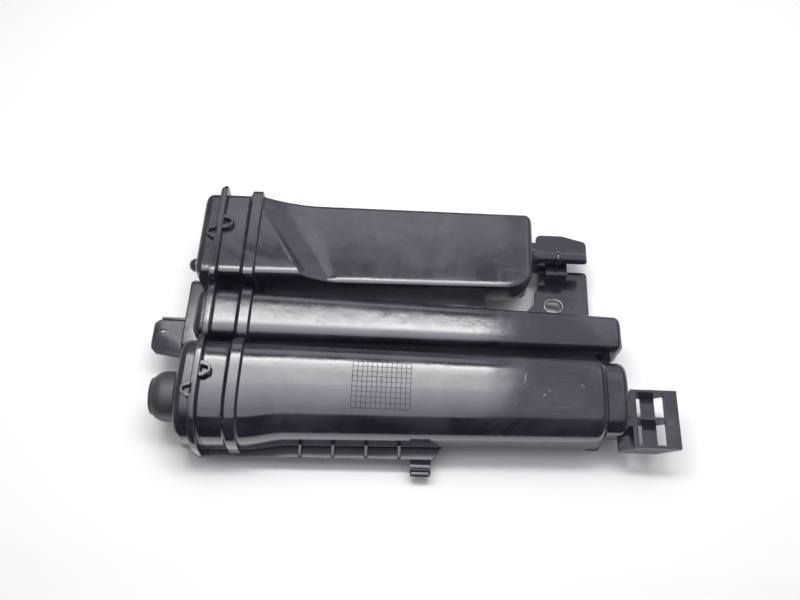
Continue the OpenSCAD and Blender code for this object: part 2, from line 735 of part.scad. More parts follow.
// Welded lid with its three lobes, transfer duct, tongue and vent stub
module end_lid() {
    knob_y = bk_y0 + 18;
    past = 20;
    place() color(black) {
        difference() {
            union() {
                slab(-lid_flange_t, 0) outline(flange_out - lid_flange_in);
                lobe(front, lid_depth);
                lobe(middle, mid_depth);
                lobe(back, lid_depth);
                duct();
                tongue();
                lid_eyelets();
                rod(lid_end - 9.5, lid_end + 1, knob_y, bk_zc + 2, knob_r);
                rod(lid_end - stub_len, lid_end + 1, vent_y, vent_z, stub_r);
            }
            lobe_space(front, lid_depth);
            lobe_space(middle, mid_depth);
            lobe_space(back, lid_depth);
            duct_space();
            rod(lid_end - stub_len - 1, lid_floor + 1, vent_y, vent_z, stub_r - wall);
            box([0, fr_y0 - past, -past], [past, bk_y1 + past, base_z + back_h + past]);
        }
        spring_post(lid_floor, fr_yc - spring_y, fr_zc, spring_r);
        spring_post(lid_floor, fr_yc + spring_y, fr_zc, spring_r);
        spring_post(mid_floor, 0, mid_zc, small_spring_r);
        spring_post(lid_floor, bk_yc - spring_y, bk_zc, spring_r);
        spring_post(lid_floor, bk_yc + spring_y, bk_zc, spring_r);
    }
}

// Hollow post on the lid's inner face that keeps a spring in place
module spring_post(floor_x, y, z, r) {
    post_r = r - wire_r - 0.6;
    post_h = 5;
    difference() {
        rod(floor_x - 0.5, floor_x + post_h, y, z, post_r);
        rod(floor_x + 0.5, floor_x + post_h + 1, y, z, post_r - 2);
    }
}

// Domed rain cap pressed on to the vent stub, with air slots through its inner ring
module vent_cap() {
    e = cap_edge_r;
    t = cap_wall;
    ring_t = 1.8;
    lip = 1.5;
    seat = stub_len - cap_gap;
    shoulder = seat + 3;
    top = cap_len - t + 0.5;
    slot = 6;
    place() color(black) translate([cap_x, vent_y, vent_z]) rotate([0, -90, 0]) {
        rotate_extrude() polygon(concat([[cap_r - t, 0], [cap_r, 0]],
            [for (u = [0:15:90]) [cap_r - e + e * cos(u), cap_len - e + e * sin(u)]],
            [[0, cap_len], [0, cap_len - t]],
            [for (u = [90:-15:0]) [cap_r - e + (e - t) * cos(u), cap_len - e + (e - t) * sin(u)]]));
        difference() {
            rotate_extrude() polygon([[stub_r, 2], [stub_r + ring_t, 2], [stub_r + ring_t, shoulder],
                [cap_r - e + 2, top], [cap_r - e, top], [stub_r - lip, shoulder], [stub_r - lip, seat], [stub_r, seat]]);
            for (a = [0:90:270]) {
                rotate(a) translate([0, -slot / 2, seat + 0.8]) cube([cap_r - t - 1, slot, top - seat - 3]);
            }
        }
    }
}

// Foam pad that fills a chamber's closed end
module foam_pad(ch) {
    d = wall + clear;
    place() color(foam) chamber_inside(ch, ch[0] - d - foam_t, d);
}

module foam_pad_front() {
    foam_pad(front);
}

module foam_pad_middle() {
    foam_pad(middle);
}

module foam_pad_back() {
    foam_pad(back);
}

// Bed of charcoal grains between a chamber's two pads
module carbon_bed(ch) {
    d = wall + clear;
    x0 = press_x + press_t + pad_t;
    x1 = ch[0] - d - foam_t;
    xs = concat([for (x = inside_xs(ch, x0, d)) if (x < x1 - 1) x], [x1]);
    place() color(carbon) loft([for (x = xs) section(ch, x, inner(ch, x, d))]);
}

module carbon_bed_front() {
    carbon_bed(front);
}

module carbon_bed_middle() {
    carbon_bed(middle);
}

module carbon_bed_back() {
    carbon_bed(back);
}

// Fleece pad between a bed and its pressure plate
module fleece_pad(ch) {
    x0 = press_x + press_t;
    x1 = x0 + pad_t;
    place() color(fleece) slab(x0, x1) polygon(flat(section(ch, 0, inner(ch, x1, wall + clear))));
}

module fleece_pad_front() {
    fleece_pad(front);
}

module fleece_pad_middle() {
    fleece_pad(middle);
}

module fleece_pad_back() {
    fleece_pad(back);
}

// Windowed plate that the springs press on the fleece, with a plain disc under each spring
module pressure_plate(ch, yc, zc, discs, r) {
    x1 = press_x + press_t;
    s = inner(ch, x1, wall + clear + 0.2);
    bar = 3;
    pitch = window_w + bar;
    edge = 10;
    rim = 3;
    ny = floor((s[1] - s[0] - edge) / 2 / pitch);
    nz = floor((s[3] - s[2] - edge) / 2 / pitch);
    place() color(black) {
        difference() {
            slab(press_x, x1) polygon(flat(section(ch, 0, s)));
            intersection() {
                slab(press_x - 1, x1 + 1)
                    polygon(flat(section(ch, 0, [s[0] + rim, s[1] - rim, s[2] + rim, s[3] - rim])));
                for (i = [-ny:ny], j = [-nz:nz]) {
                    translate([press_x - 1, yc + i * pitch - window_w / 2, zc + j * pitch - window_w / 2])
                        cube([press_t + 2, window_w, window_w]);
                }
            }
        }
        for (y = discs) {
            rod(press_x, x1, yc + y, zc, r + wire_r + 1);
        }
    }
}

module pressure_plate_front() {
    pressure_plate(front, fr_yc, fr_zc, [-spring_y, spring_y], spring_r);
}

module pressure_plate_middle() {
    pressure_plate(middle, 0, mid_zc, [0], small_spring_r);
}

module pressure_plate_back() {
    pressure_plate(back, bk_yc, bk_zc, [-spring_y, spring_y], spring_r);
}

// Coil spring between the lid's inner face and a pressure plate, with closer turns at both ends
module spring(floor_x, y, z, r) {
    seat_gap = 0.05;
    x0 = floor_x + wire_r + seat_gap;
    x1 = press_x - wire_r - seat_gap;
    n = 14 * spring_turns;
    place() color(steel) loft([for (i = [0:n]) let (a = 360 * spring_turns * i / n,
        x = x0 + (x1 - x0) * (1 - cos(180 * i / n)) / 2)
        [for (k = [0:5]) let (q = r + wire_r * cos(60 * k))
            [x - wire_r * sin(60 * k), y + q * cos(a), z + q * sin(a)]]]);
}

module spring_front_near() {
    spring(lid_floor, fr_yc - spring_y, fr_zc, spring_r);
}

module spring_front_far() {
    spring(lid_floor, fr_yc + spring_y, fr_zc, spring_r);
}

module spring_middle() {
    spring(mid_floor, 0, mid_zc, small_spring_r);
}

module spring_back_near() {
    spring(lid_floor, bk_yc - spring_y, bk_zc, spring_r);
}

module spring_back_far() {
    spring(lid_floor, bk_yc + spring_y, bk_zc, spring_r);
}

housing();
slot_sleeve();
end_lid();
vent_cap();
foam_pad_front();
foam_pad_middle();
foam_pad_back();
carbon_bed_front();
carbon_bed_middle();
carbon_bed_back();
fleece_pad_front();
fleece_pad_middle();
fleece_pad_back();
pressure_plate_front();
pressure_plate_middle();
pressure_plate_back();
spring_front_near();
spring_front_far();
spring_middle();
spring_back_near();
spring_back_far();
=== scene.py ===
import math

import bmesh
import bpy
from mathutils import Matrix, Vector, noise


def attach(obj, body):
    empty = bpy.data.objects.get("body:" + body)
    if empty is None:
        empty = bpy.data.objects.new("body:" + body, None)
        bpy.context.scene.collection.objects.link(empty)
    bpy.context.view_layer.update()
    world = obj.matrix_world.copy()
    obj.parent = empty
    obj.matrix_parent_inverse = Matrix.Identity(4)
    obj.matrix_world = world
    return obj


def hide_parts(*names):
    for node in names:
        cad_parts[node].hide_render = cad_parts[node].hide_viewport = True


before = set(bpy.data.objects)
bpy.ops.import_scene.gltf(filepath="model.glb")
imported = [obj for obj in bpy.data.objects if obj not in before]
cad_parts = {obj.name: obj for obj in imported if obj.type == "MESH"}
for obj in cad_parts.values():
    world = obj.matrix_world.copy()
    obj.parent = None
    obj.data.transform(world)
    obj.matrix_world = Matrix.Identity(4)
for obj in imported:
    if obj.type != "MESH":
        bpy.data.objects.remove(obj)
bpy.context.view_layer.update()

# Housing: one injection moulding of black polypropylene, with three tapered chambers side by side.
# Flange, band, webs, ledge, clip, spigot, plates and bracket are all moulded on to it in one shot.
# Its sizes are in millimetres from the weld plane, the middle chamber's centre and the rest plane.
WELD_X, CENTRE_Y = -141.0, 2.13182
WALL = 2.5
FLANGE_T, FLANGE_OUT = 3.0, 5.0
BAND_X0, BAND_X1, BAND_H, BAND_RUN = 21.0, 29.0, 2.8, 4.5
WAIST_RUN, WAIST_END = 32.0, 65.0
STEP_X, STEP_SLANT, STEP_RUN, STEP_SPREAD, STEP_FLAT = 62.0, 40.0, 28.0, 15.0, 112.0


def on_frame(x, y, z):
    """A place on the drawing, in the shared frame's metres."""
    return Vector(((x + WELD_X) / 1000, (y + CENTRE_Y) / 1000, z / 1000))


def part_object(name, bm):
    """A closed mesh as an object of its own, with its faces outward."""
    bmesh.ops.remove_doubles(bm, verts=bm.verts, dist=1e-6)
    bmesh.ops.dissolve_degenerate(bm, edges=bm.edges, dist=1e-7)
    bmesh.ops.recalc_face_normals(bm, faces=bm.faces)
    mesh = bpy.data.meshes.new(name)
    bm.to_mesh(mesh)
    bm.free()
    obj = bpy.data.objects.new(name, mesh)
    bpy.context.scene.collection.objects.link(obj)
    return obj


def loft(name, rings):
    """A solid skin over rings of points, closed by a face at both ends."""
    bm = bmesh.new()
    rows = [[bm.verts.new(on_frame(*p)) for p in ring] for ring in rings]
    count = len(rows[0])
    for a, b in zip(rows, rows[1:]):
        for i in range(count):
            k = (i + 1) % count
            bm.faces.new((a[i], a[k], b[k], b[i]))
    bm.faces.new(list(reversed(rows[0])))
    bm.faces.new(rows[-1])
    return part_object(name, bm)


def even_section(width, height, n_up, n_near, n_low, count):
    """Points of a squared oval from -1 to 1, evenly spaced along its outline."""
    fine = 2880
    raw = []
    for i in range(fine + 1):
        t = 2 * math.pi * i / fine
        c, s = math.cos(t), math.sin(t)
        n = n_up if i <= fine / 4 else n_near if i <= fine / 2 else n_low
        reach = (abs(c) ** n + abs(s) ** n) ** (-1 / n)
        raw.append((c * reach, s * reach))
    run = [0.0]
    for p, q in zip(raw, raw[1:]):
        run.append(run[-1] + math.hypot((q[0] - p[0]) * width, (q[1] - p[1]) * height))
    points, j = [], 0
    for i in range(count):
        want = run[-1] * i / count
        while run[j + 1] < want:
            j += 1
        u = (want - run[j]) / (run[j + 1] - run[j])
        points.append(tuple(a + (b - a) * u for a, b in zip(raw[j], raw[j + 1])))
    return points


def round_in(x, end, r):
    """How far a rounded end has come in at x."""
    return 0.0 if x <= end - r else r - math.sqrt(max(0.0, r * r - (x - end + r) ** 2))


def unit(u):
    """A share, held between 0 and 1."""
    return min(1.0, max(0.0, u))


class Chamber:
    """A tapered chamber: its sides at the weld and at the closed end, in the order -Y, +Y, below, above."""

    def __init__(self, length, n_up, n_low, weld, end, radii, waist=0.0, step=0.0, points=180, n_near=None,
                 belly=0.5):
        self.length, self.weld, self.end, self.radii = length, weld, end, radii
        self.waist, self.step, self.belly = waist, step, belly
        self.shape = even_section(weld[1] - weld[0], weld[3] - weld[2], n_up, n_near or n_up, n_low, points)

    def sides(self, x, grow=0.0, bevel=False):
        """The four sides at x, grown outward, with a rounded or a bevelled closed end."""
        out = []
        for k in range(4):
            s = self.weld[k] + (self.end[k] - self.weld[k]) * x / self.length
            if k == 0 and self.waist:
                u = unit((x - BAND_X1) / WAIST_RUN)
                s += self.waist * u * u * (3 - 2 * u)
            r = self.radii[k]
            inset = max(0.0, x - self.length + r) if bevel else round_in(x, self.length, r)
            out.append(s + (1 if k % 2 == 0 else -1) * (inset - grow))
        return out

    def lean(self, cy):
        """Where the top's step begins and ends, across the chamber's width."""
        f = (cy + 1) / 2
        start = max(BAND_X1, STEP_X - STEP_SLANT * f)
        return start, start + STEP_RUN + STEP_SPREAD * f

    def drop(self, x, cy):
        """How far the stepped top has come down at x."""
        start, stop = self.lean(cy)
        u = unit((x - start) / (stop - start))
        return self.step * (1 - (1 - u) ** 2)

    def point(self, x, cy, kz, grow=0.0, bevel=False):
        """A point of the section at x, from its shares of the half width and the half height."""
        s = self.sides(x, grow, bevel)
        z = s[2] + (s[3] - s[2]) * (self.belly + kz * (self.belly if kz < 0 else 1 - self.belly))
        if self.step:
            z -= max(0.0, kz) * self.drop(x, cy)
        return x, (s[0] + s[1]) / 2 + (s[1] - s[0]) / 2 * cy, z

    def ring(self, x, grow=0.0, bevel=False, count=None):
        """The section at x, with all its points or with a count of them picked evenly."""
        n = len(self.shape)
        picked = [self.shape[i * n // count] for i in range(count)] if count else self.shape
        return [self.point(x, cy, kz, grow, bevel) for cy, kz in picked]


front = Chamber(275, 5.8, 4.4, [-91.5, -23.5, 6, 56], [-84, -26, 10, 52], [8, 8, 8, 8], waist=3.5, points=208,
                n_near=2.3, belly=0.42)
middle = Chamber(288, 6, 3.4, [-18.5, 18.5, 8, 49], [-16, 10, 10.5, 43], [5, 5, 5, 5], points=148)
back = Chamber(228, 20, 3.4, [25.5, 92.5, 6, 56], [28, 90, 12, 56], [20, 6, 14, 6], step=10.5, points=220)
chambers = {"front": front, "middle": middle, "back": back}
RING_GAP, CLOSE_GAP = 7, 2.5


def end_stations(ch):
    """Places along the rounded closed end, close together where its edges turn."""
    xs = set()
    for r in set(ch.radii):
        xs.update(round(ch.length - r + r * math.sin(math.radians(a)), 4) for a in range(0, 91, 9))
    return sorted(xs)


def spread(x0, x1, step):
    """Places from x0 up to x1, about a step apart."""
    n = max(1, round((x1 - x0) / step))
    return [x0 + (x1 - x0) * i / n for i in range(n)]


def chamber_outside(name, ch):
    """A chamber's outer skin, with its rings close together where it bends."""
    tail = end_stations(ch)
    rings = [ch.ring(x) for x in spread(0, BAND_X1, RING_GAP)]
    if not ch.step:
        xs = spread(BAND_X1, WAIST_END, CLOSE_GAP) + spread(WAIST_END, tail[0], RING_GAP) + tail
        return loft(name, rings + [ch.ring(x) for x in xs])
    # The rings follow the slanting crease of the step, so that it stays one clean line.
    bends = [(BAND_X1, *ch.lean(cy), STEP_FLAT) for cy, _ in ch.shape]
    for part, n in enumerate((10, 24, 8)):
        for i in range(n):
            rings.append([ch.point(b[part] + (b[part + 1] - b[part]) * i / n, cy, kz)
                          for b, (cy, kz) in zip(bends, ch.shape)])
    return loft(name, rings + [ch.ring(x) for x in spread(STEP_FLAT, tail[0], RING_GAP) + tail])


def rim(name, ch, x, stations):
    """A collar round a chamber's outline at x, through stations of place along X and height above the wall."""
    return loft(name, [[(at, y, z) for _, y, z in ch.ring(x, grow)] for at, grow in stations])


def quarter(x, h, r, way, up):
    """Stations of a rounded edge from its side to its crest (up) or back, toward +X or -X."""
    steps = [math.radians(d) for d in range(0, 91, 15)]
    points = [(x + way * r * (1 - math.cos(t)), h - r * (1 - math.sin(t))) for t in steps]
    return points if up else points[::-1]


solids = [chamber_outside("shell_" + k, c) for k, c in chambers.items()]
front_shell = solids[0]
flange_foot = [(FLANGE_T + out, up) for out, up in ((0, 0.9), (0.3, 0.3), (0.9, 0.0), (1.4, -0.5))]
flange_profile = [(0, -1), *quarter(0, FLANGE_OUT, 0.3, 1, True), *quarter(FLANGE_T, FLANGE_OUT, 1.0, -1, False),
                  *flange_foot]
band_rise = [(BAND_X0 - BAND_RUN + BAND_RUN * u, -0.35 + 1.9 * u ** 2.2) for u in (i / 8 for i in range(8))]
band_foot = [(BAND_X1 + out, up) for out, up in ((0, 0.8), (0.3, 0.25), (0.8, 0.0), (1.3, -0.5))]
band_profile = [*band_rise, *quarter(BAND_X0, BAND_H, 1.1, 1, True), *quarter(BAND_X1, BAND_H, 0.9, -1, False),
                *band_foot]
for k, c in chambers.items():
    solids.append(rim("flange_" + k, c, 0, flange_profile))
    solids.append(rim("band_" + k, c, (BAND_X0 + BAND_X1) / 2, band_profile))


def slab(axis, outline, lo, hi):
    """A flat outline made thick along one axis."""
    place = {"x": lambda p, h: on_frame(h, p[0], p[1]), "y": lambda p, h: on_frame(p[0], h, p[1]),
             "z": lambda p, h: on_frame(p[0], p[1], h)}[axis]
    bm = bmesh.new()
    low = [bm.verts.new(place(p, lo)) for p in outline]
    high = [bm.verts.new(place(p, hi)) for p in outline]
    bm.faces.new(low)
    bm.faces.new(high)
    for i in range(len(outline)):
        k = (i + 1) % len(outline)
        bm.faces.new((low[i], low[k], high[k], high[i]))
    bmesh.ops.recalc_face_normals(bm, faces=bm.faces)
    return bm


def eased(name, bm, edge):
    """A mesh as an object, with its sharp edges rounded."""
    if edge:
        sharp = [e for e in bm.edges if e.calc_face_angle(0) > math.radians(20)]
        bmesh.ops.bevel(bm, geom=sharp, offset=edge / 1000, segments=3, profile=0.5, affect="EDGES",
                        clamp_overlap=True)
    return part_object(name, bm)


def prism(name, axis, outline, lo, hi, edge=0.5):
    """A flat outline made thick along one axis, with its edges rounded."""
    return eased(name, slab(axis, outline, lo, hi), edge)


def block(name, p, q, edge=0.5):
    """A box from one corner to the other, with its edges rounded."""
    outline = [(p[0], p[1]), (q[0], p[1]), (q[0], q[1]), (p[0], q[1])]
    return prism(name, "z", outline, p[2], q[2], edge)


def turned(name, profile, y, z, count=48, axis="x"):
    """A profile of along and radius, turned round a line through y and z along X, or through x and z along Y."""
    rings = []
    for along, r in profile:
        ring = []
        for i in range(count):
            t = 2 * math.pi * i / count
            if axis == "x":
                ring.append((along, y + r * math.cos(t), z + r * math.sin(t)))
            else:
                ring.append((y + r * math.sin(t), along, z + r * math.cos(t)))
        rings.append(ring)
    return loft(name, rings)


def arc(cx, cy, r, a0, a1, n):
    """Points along an arc, by degrees."""
    angles = [math.radians(a0 + (a1 - a0) * i / n) for i in range(n + 1)]
    return [(cx + r * math.cos(t), cy + r * math.sin(t)) for t in angles]


# Webs at mid height, and the plenum with its duct on the front chamber's closed end
WEB_Z0, WEB_Z1, WEB_EDGE = 25, 28, 0.4
PLENUM_X, PLENUM_END, PLENUM_IN, PLENUM_WALL = 269, 289, 5, 3
CROSS_X, CROSS_Z, CROSS_R, CROSS_BORE = 279.5, 18, 4.8, 3
web_corner = arc(272, -26, 8, 0, 90, 8)[1:]
solids.append(prism("web_near", "z", [(0, -29.5), (280, -29.5), (280, -26), *web_corner, (272, -12.5), (0, -12.5)],
                    WEB_Z0, WEB_Z1, WEB_EDGE))
solids.append(block("web_far", (0, 8.5, WEB_Z0), (194, 31.5, WEB_Z1), WEB_EDGE))
near, far, low, high = front.sides(front.length - front.radii[0])
plenum_sides = [near + PLENUM_IN, far + 1, low + PLENUM_IN, high - PLENUM_IN]
plenum = Chamber(PLENUM_END, 3.4, 3.4, plenum_sides, plenum_sides, [6, 6, 6, 6], points=150, n_near=2.3)
solids.append(loft("plenum", [plenum.ring(x) for x in [PLENUM_X, 276, *end_stations(plenum)]]))
solids.append(turned("cross_duct", [(-36, CROSS_R), (-9, CROSS_R)], CROSS_X, CROSS_Z, axis="y"))

# Eyelets on the flange's rim
EYE_T, EYE_D, EYE_TOP, EYE_LOW = 2.2, 5.0, 57.8, 2.0
EYE_HALF = EYE_D / 2 + EYE_T + 1


def eyelet(name, x, y, z, way):
    """A six-sided loop at the flange, its tip along X, and the cutter of its hole."""
    h, tip, d = EYE_HALF, EYE_D + EYE_T, EYE_D + 0.7
    ring = [(-0.5, -h), (0.45 * h, -h), (tip, -0.4 * h), (tip, 0.4 * h), (0.45 * h, h), (-0.5, h)]
    hole = [(0.2, -d / 2), (0.3 * h, -d / 2), (d, -0.25 * h), (d, 0.25 * h), (0.3 * h, d / 2), (0.2, d / 2)]
    loop = prism(name, "z", [(x + way * a, y + b) for a, b in ring], z, z + EYE_T, 0.45)
    cut = prism(name + "_hole", "z", [(x + way * a, y + b) for a, b in hole], z - 1, z + EYE_T + 1, 0)
    return loop, cut


eyelets = [eyelet("eye_front", FLANGE_T, -49.5, EYE_TOP, 1), eyelet("eye_back", FLANGE_T, 66, EYE_TOP, 1),
           eyelet("eye_front_low", FLANGE_T, -69.5, EYE_LOW, 1), eyelet("eye_back_low", FLANGE_T, 53, EYE_LOW, 1)]
solids += [loop for loop, _ in eyelets]
cuts = [cut for _, cut in eyelets]

# Ledge with the cable clip along the front chamber's foot
LEDGE_X0, LEDGE_END, LEDGE_Y0, LEDGE_Y, LEDGE_ROOT, LEDGE_Z, LEDGE_T = 2.0, 159.0, -95.1, -91.66, -77.5, 15.0, 3.0
CLIP_X0, CLIP_X1, CLIP_SIDE = 144, 158, 1.1
CLIP_Y, CLIP_Z, CLIP_R, CLIP_OUT, CLIP_GROOVE = -95.964, 9.2, 4.0, 5.8, 4.8
solids.append(prism("ledge", "z", [(LEDGE_X0, LEDGE_ROOT), (LEDGE_X0, LEDGE_Y0), (LEDGE_END, LEDGE_Y),
                                   (LEDGE_END + 10, LEDGE_ROOT)], LEDGE_Z - LEDGE_T, LEDGE_Z, 0.5))
clip_ring = []
for r, a0, a1, count in ((CLIP_OUT, -45, 104, 24), (CLIP_GROOVE, 112, 140, 8), (CLIP_OUT, 147, 158, 3),
                         (CLIP_GROOVE, 165, 177, 4), (CLIP_OUT, 184, 225, 8), (CLIP_R, 225, -45, 32)):
    clip_ring += arc(CLIP_Y, CLIP_Z, r, a0, a1, count)
solids.append(prism("clip", "x", clip_ring, CLIP_X0 + 0.3, CLIP_X1 - 0.3, 0.12))
clip_side = arc(CLIP_Y, CLIP_Z, CLIP_OUT, -45, 225, 40) + arc(CLIP_Y, CLIP_Z, CLIP_R, 225, -45, 32)
for i, x in enumerate([CLIP_X0, CLIP_X1 - CLIP_SIDE]):
    solids.append(prism("clip_side_%d" % i, "x", clip_side, x, x + CLIP_SIDE, 0.2))
solids.append(block("clip_root", (CLIP_X0, -93.2, LEDGE_Z - LEDGE_T), (CLIP_X1, -90, LEDGE_Z - 1.6), 0.2))

# Rear plate with the slot's collar, its block and the guard plate behind the back chamber
SLOT_X, SLOT_Y, SLOT_L, SLOT_W, SLEEVE_T = 246.0, 30.5, 11.4, 8.6, 1.3
COLLAR_Z, PLATE_Z0, PLATE_Z1, GUARD_Z0, GUARD_Z1 = 4, 10, 14, 21, 24


def corners(points, radii, n=5):
    """An outline with its corners rounded, each by its own radius."""
    out = []
    for i, p in enumerate(points):
        a, b, r = Vector(points[i - 1]), Vector(points[(i + 1) % len(points)]), radii[i]
        p = Vector(p)
        if not r:
            out.append(tuple(p))
            continue
        u, v = (a - p).normalized(), (b - p).normalized()
        half = u.angle(v) / 2
        cut = r / math.tan(half)
        centre = p + (u + v).normalized() * (r / math.sin(half))
        s, e = p + u * cut - centre, p + v * cut - centre
        turn = s.angle_signed(e)
        for k in range(n + 1):
            q = Vector(s)
            q.rotate(Matrix.Rotation(-turn * k / n, 2))
            out.append(tuple(centre + q))
    return out


def slot_outline(grow):
    """The slot's oval, grown outward."""
    r, half = SLOT_W / 2 + grow, (SLOT_L - SLOT_W) / 2
    return arc(SLOT_X + half, SLOT_Y, r, -90, 90, 24) + arc(SLOT_X - half, SLOT_Y, r, 90, 270, 24)


solids.append(prism("rear_plate", "z", corners(
    [(235, 60), (272, 60), (272, 4), (213, 4), (220, 19.5), (225, 24.5), (232, 31.5), (232.5, 41.5), (235, 44.5)],
    [0, 3, 0, 0, 6, 0, 3, 2, 0]), PLATE_Z0, PLATE_Z1, 0.5))
solids.append(prism("slot_collar", "z", slot_outline(SLEEVE_T + 2), COLLAR_Z, PLATE_Z1, 0.4))
solids.append(block("plate_post", (235, 45, PLATE_Z0), (240, 62, 19), 0.6))
solids.append(block("plate_block", (239, 49, PLATE_Z0), (255, 62, 28), 0.8))
solids.append(prism("guard", "z", corners(
    [(233, 59), (233, 86), (253, 86), (271, 80.8), (271, 63), (255, 63), (255, 59)],
    [0, 4, 14, 4, 1, 0, 0]), GUARD_Z0, GUARD_Z1, 0.7))
solids.append(block("guard_root", (224, 60, PLATE_Z0), (237, 79.5, GUARD_Z1), 0.8))
cuts.append(prism("slot_hole", "z", slot_outline(SLEEVE_T + 0.02), COLLAR_Z - 2, PLATE_Z1 + 4, 0))

# Purge spigot, with a flared root, a retaining bead and a rounded tip
PORT_Y, PORT_Z, PORT_R, PORT_TIP, PORT_EDGE, PORT_BORE = 60.0, 34.0, 3.945, 268.0, 1.1, 2.6
root = [(222, 9.0)] + [(224 + 14 * u, PORT_R + 5.05 * (1 - u) ** 1.7) for u in (i / 8 for i in range(9))]
bead = [(PORT_TIP - 20.5 + 1.8 * math.sin(math.radians(a)), PORT_R + math.cos(math.radians(a)) ** 0.8)
        for a in range(-88, 89, 16)]
tip = arc(PORT_TIP - PORT_EDGE, PORT_R - PORT_EDGE, PORT_EDGE, 90, 0, 9)
solids.append(turned("spigot", root + [(241, PORT_R)] + bead + [(251, PORT_R)] + tip, PORT_Y, PORT_Z, 64))
bore = [(224.5, PORT_BORE), (PORT_TIP - 1.2, PORT_BORE), (PORT_TIP - 0.4, PORT_BORE + 0.15), (PORT_TIP + 1, 3.1)]
cuts.append(turned("spigot_bore", bore, PORT_Y, PORT_Z, 48))

# End bracket with its two pockets, on the plenum
BR_X0, BR_X1, BR_Y0, BR_Y1, BR_YC, BR_LOW, BR_Z = 292.5, 324.0, -83.0, -41.5, -62.25, 20.0, 33.0
BR_WALL, BR_EDGE, CHEEK_X0, CHEEK_X1 = 2, 0.35, 284, 293.5
side_outline = [(BR_X0, BR_LOW), (309, BR_LOW), (BR_X1, 30), (BR_X1, BR_Z), (BR_X0, BR_Z)]
for k, y in (("near", BR_Y0), ("mid", BR_YC - 1), ("far", BR_Y1 - BR_WALL)):
    solids.append(prism("bracket_rim_" + k, "y", side_outline, y, y + BR_WALL, BR_EDGE))
solids.append(block("bracket_border", (314.5, BR_Y0, BR_Z - 3), (BR_X1, BR_Y1, BR_Z), BR_EDGE))
solids.append(prism("bracket_tip", "y", [(322, 28.7), (BR_X1, 30), (BR_X1, BR_Z), (322, BR_Z)], BR_Y0, BR_Y1, BR_EDGE))
solids.append(block("bracket_left", (BR_X0, BR_Y0, BR_LOW), (296, BR_Y1, BR_Z), BR_EDGE))
solids.append(block("bracket_root", (285, BR_YC - 6, BR_LOW), (CHEEK_X1, BR_Y1 - 1, BR_Z - 1), 0.8))
solids.append(block("bracket_strip", (301.5, BR_Y0 + 1, BR_LOW), (311, BR_Y1 - 1, BR_LOW + 2.5), BR_EDGE))
cheek = [(CHEEK_X0, BR_LOW), (CHEEK_X1, BR_LOW), (CHEEK_X1, BR_Z - 3), (CHEEK_X0, BR_Z - 8)]
solids.append(prism("bracket_cheek", "y", cheek, BR_Y0, BR_Y0 + BR_WALL, BR_EDGE))
solids.append(block("bracket_floor", (CHEEK_X0, BR_Y0, BR_LOW), (CHEEK_X1, BR_YC, BR_LOW + 2.5), BR_EDGE))

# Feet, and the nub on the middle chamber's closed end
FOOT_X, FOOT_L, FOOT_W, FOOT_H, FOOT_EDGE = 34, 12, 16, 13, 0.8
for k, y in (("front", -55.5), ("back", 51)):
    solids.append(block("foot_%s_left" % k, (FOOT_X, y, 0), (FOOT_X + FOOT_L, y + FOOT_W, FOOT_H), FOOT_EDGE))
solids.append(block("foot_front_right", (266, plenum_sides[0], 0), (275, plenum_sides[0] + FOOT_W, 24), FOOT_EDGE))
foot_plan = corners([(215.5, 44), (227.5, 44), (227.5, 60), (215.5, 60)], [2, 5, 0, 0])
solids.append(prism("foot_back_right", "z", foot_plan, 0, 19, FOOT_EDGE))
solids.append(block("nub", (285, -10, 20.5), (290.5, -2, 30.5), 1.2))

# The space inside, with stations along the waist or the step where a chamber has one
bend_stations, SPACE_POINTS = [*range(29, 84, 6), 90], 72
for k, c in chambers.items():
    xs = [-1.0] + (bend_stations if c.step or c.waist else [])
    xs += [c.length - max(c.radii)] if max(c.radii) > c.radii[1] + 1 else []
    xs += [c.length - c.radii[1], c.length - WALL]
    cuts.append(loft("space_" + k, [c.ring(x, -WALL, True, SPACE_POINTS) for x in xs]))
for name, inset, x0, x1 in (("plenum_way", 9, 271.5, 276), ("plenum_space", PLENUM_WALL, 275, 286.5)):
    cuts.append(rim(name, plenum, PLENUM_X, [(x0, -inset), (x1, -inset)]))
cuts.append(turned("cross_way", [(-37, CROSS_BORE), (-8, CROSS_BORE)], CROSS_X, CROSS_Z, axis="y"))


def feed(tree, target, inputs):
    """Sets a node's inputs, each to a value or to the socket that feeds it."""
    for key, value in inputs.items():
        if isinstance(value, bpy.types.NodeSocket):
            tree.links.new(value, target.inputs[key])
        else:
            target.inputs[key].default_value = value


def node(tree, kind, inputs=None, **settings):
    """A node with its settings and its inputs."""
    made = tree.nodes.new(kind)
    for key, value in settings.items():
        setattr(made, key, value)
    feed(tree, made, inputs or {})
    return made


def maths(tree, operation, *values, **settings):
    """The result of a sum on values or sockets."""
    return node(tree, "ShaderNodeMath", dict(enumerate(values)), operation=operation, **settings).outputs[0]


def graded(tree, value, start, stop, low=0.0, high=1.0):
    """A value's span from start to stop, laid on the span from low to high."""
    return node(tree, "ShaderNodeMapRange", {"Value": value, "From Min": start, "From Max": stop, "To Min": low,
                                             "To Max": high}).outputs[0]


def on_piece(tree):
    """The piece's own coordinates."""
    return node(tree, "ShaderNodeTexCoord").outputs["Object"]


def clouds(tree, place, size, detail, **more):
    """A noise at a place, by its size and its detail."""
    return node(tree, "ShaderNodeTexNoise", {"Vector": place, "Scale": size, "Detail": detail, **more}).outputs[0]


def mixed(tree, share, a, b):
    """Two colours, mixed by a share."""
    return node(tree, "ShaderNodeMix", {"Factor": share, 6: a, 7: b}, data_type="RGBA").outputs[2]


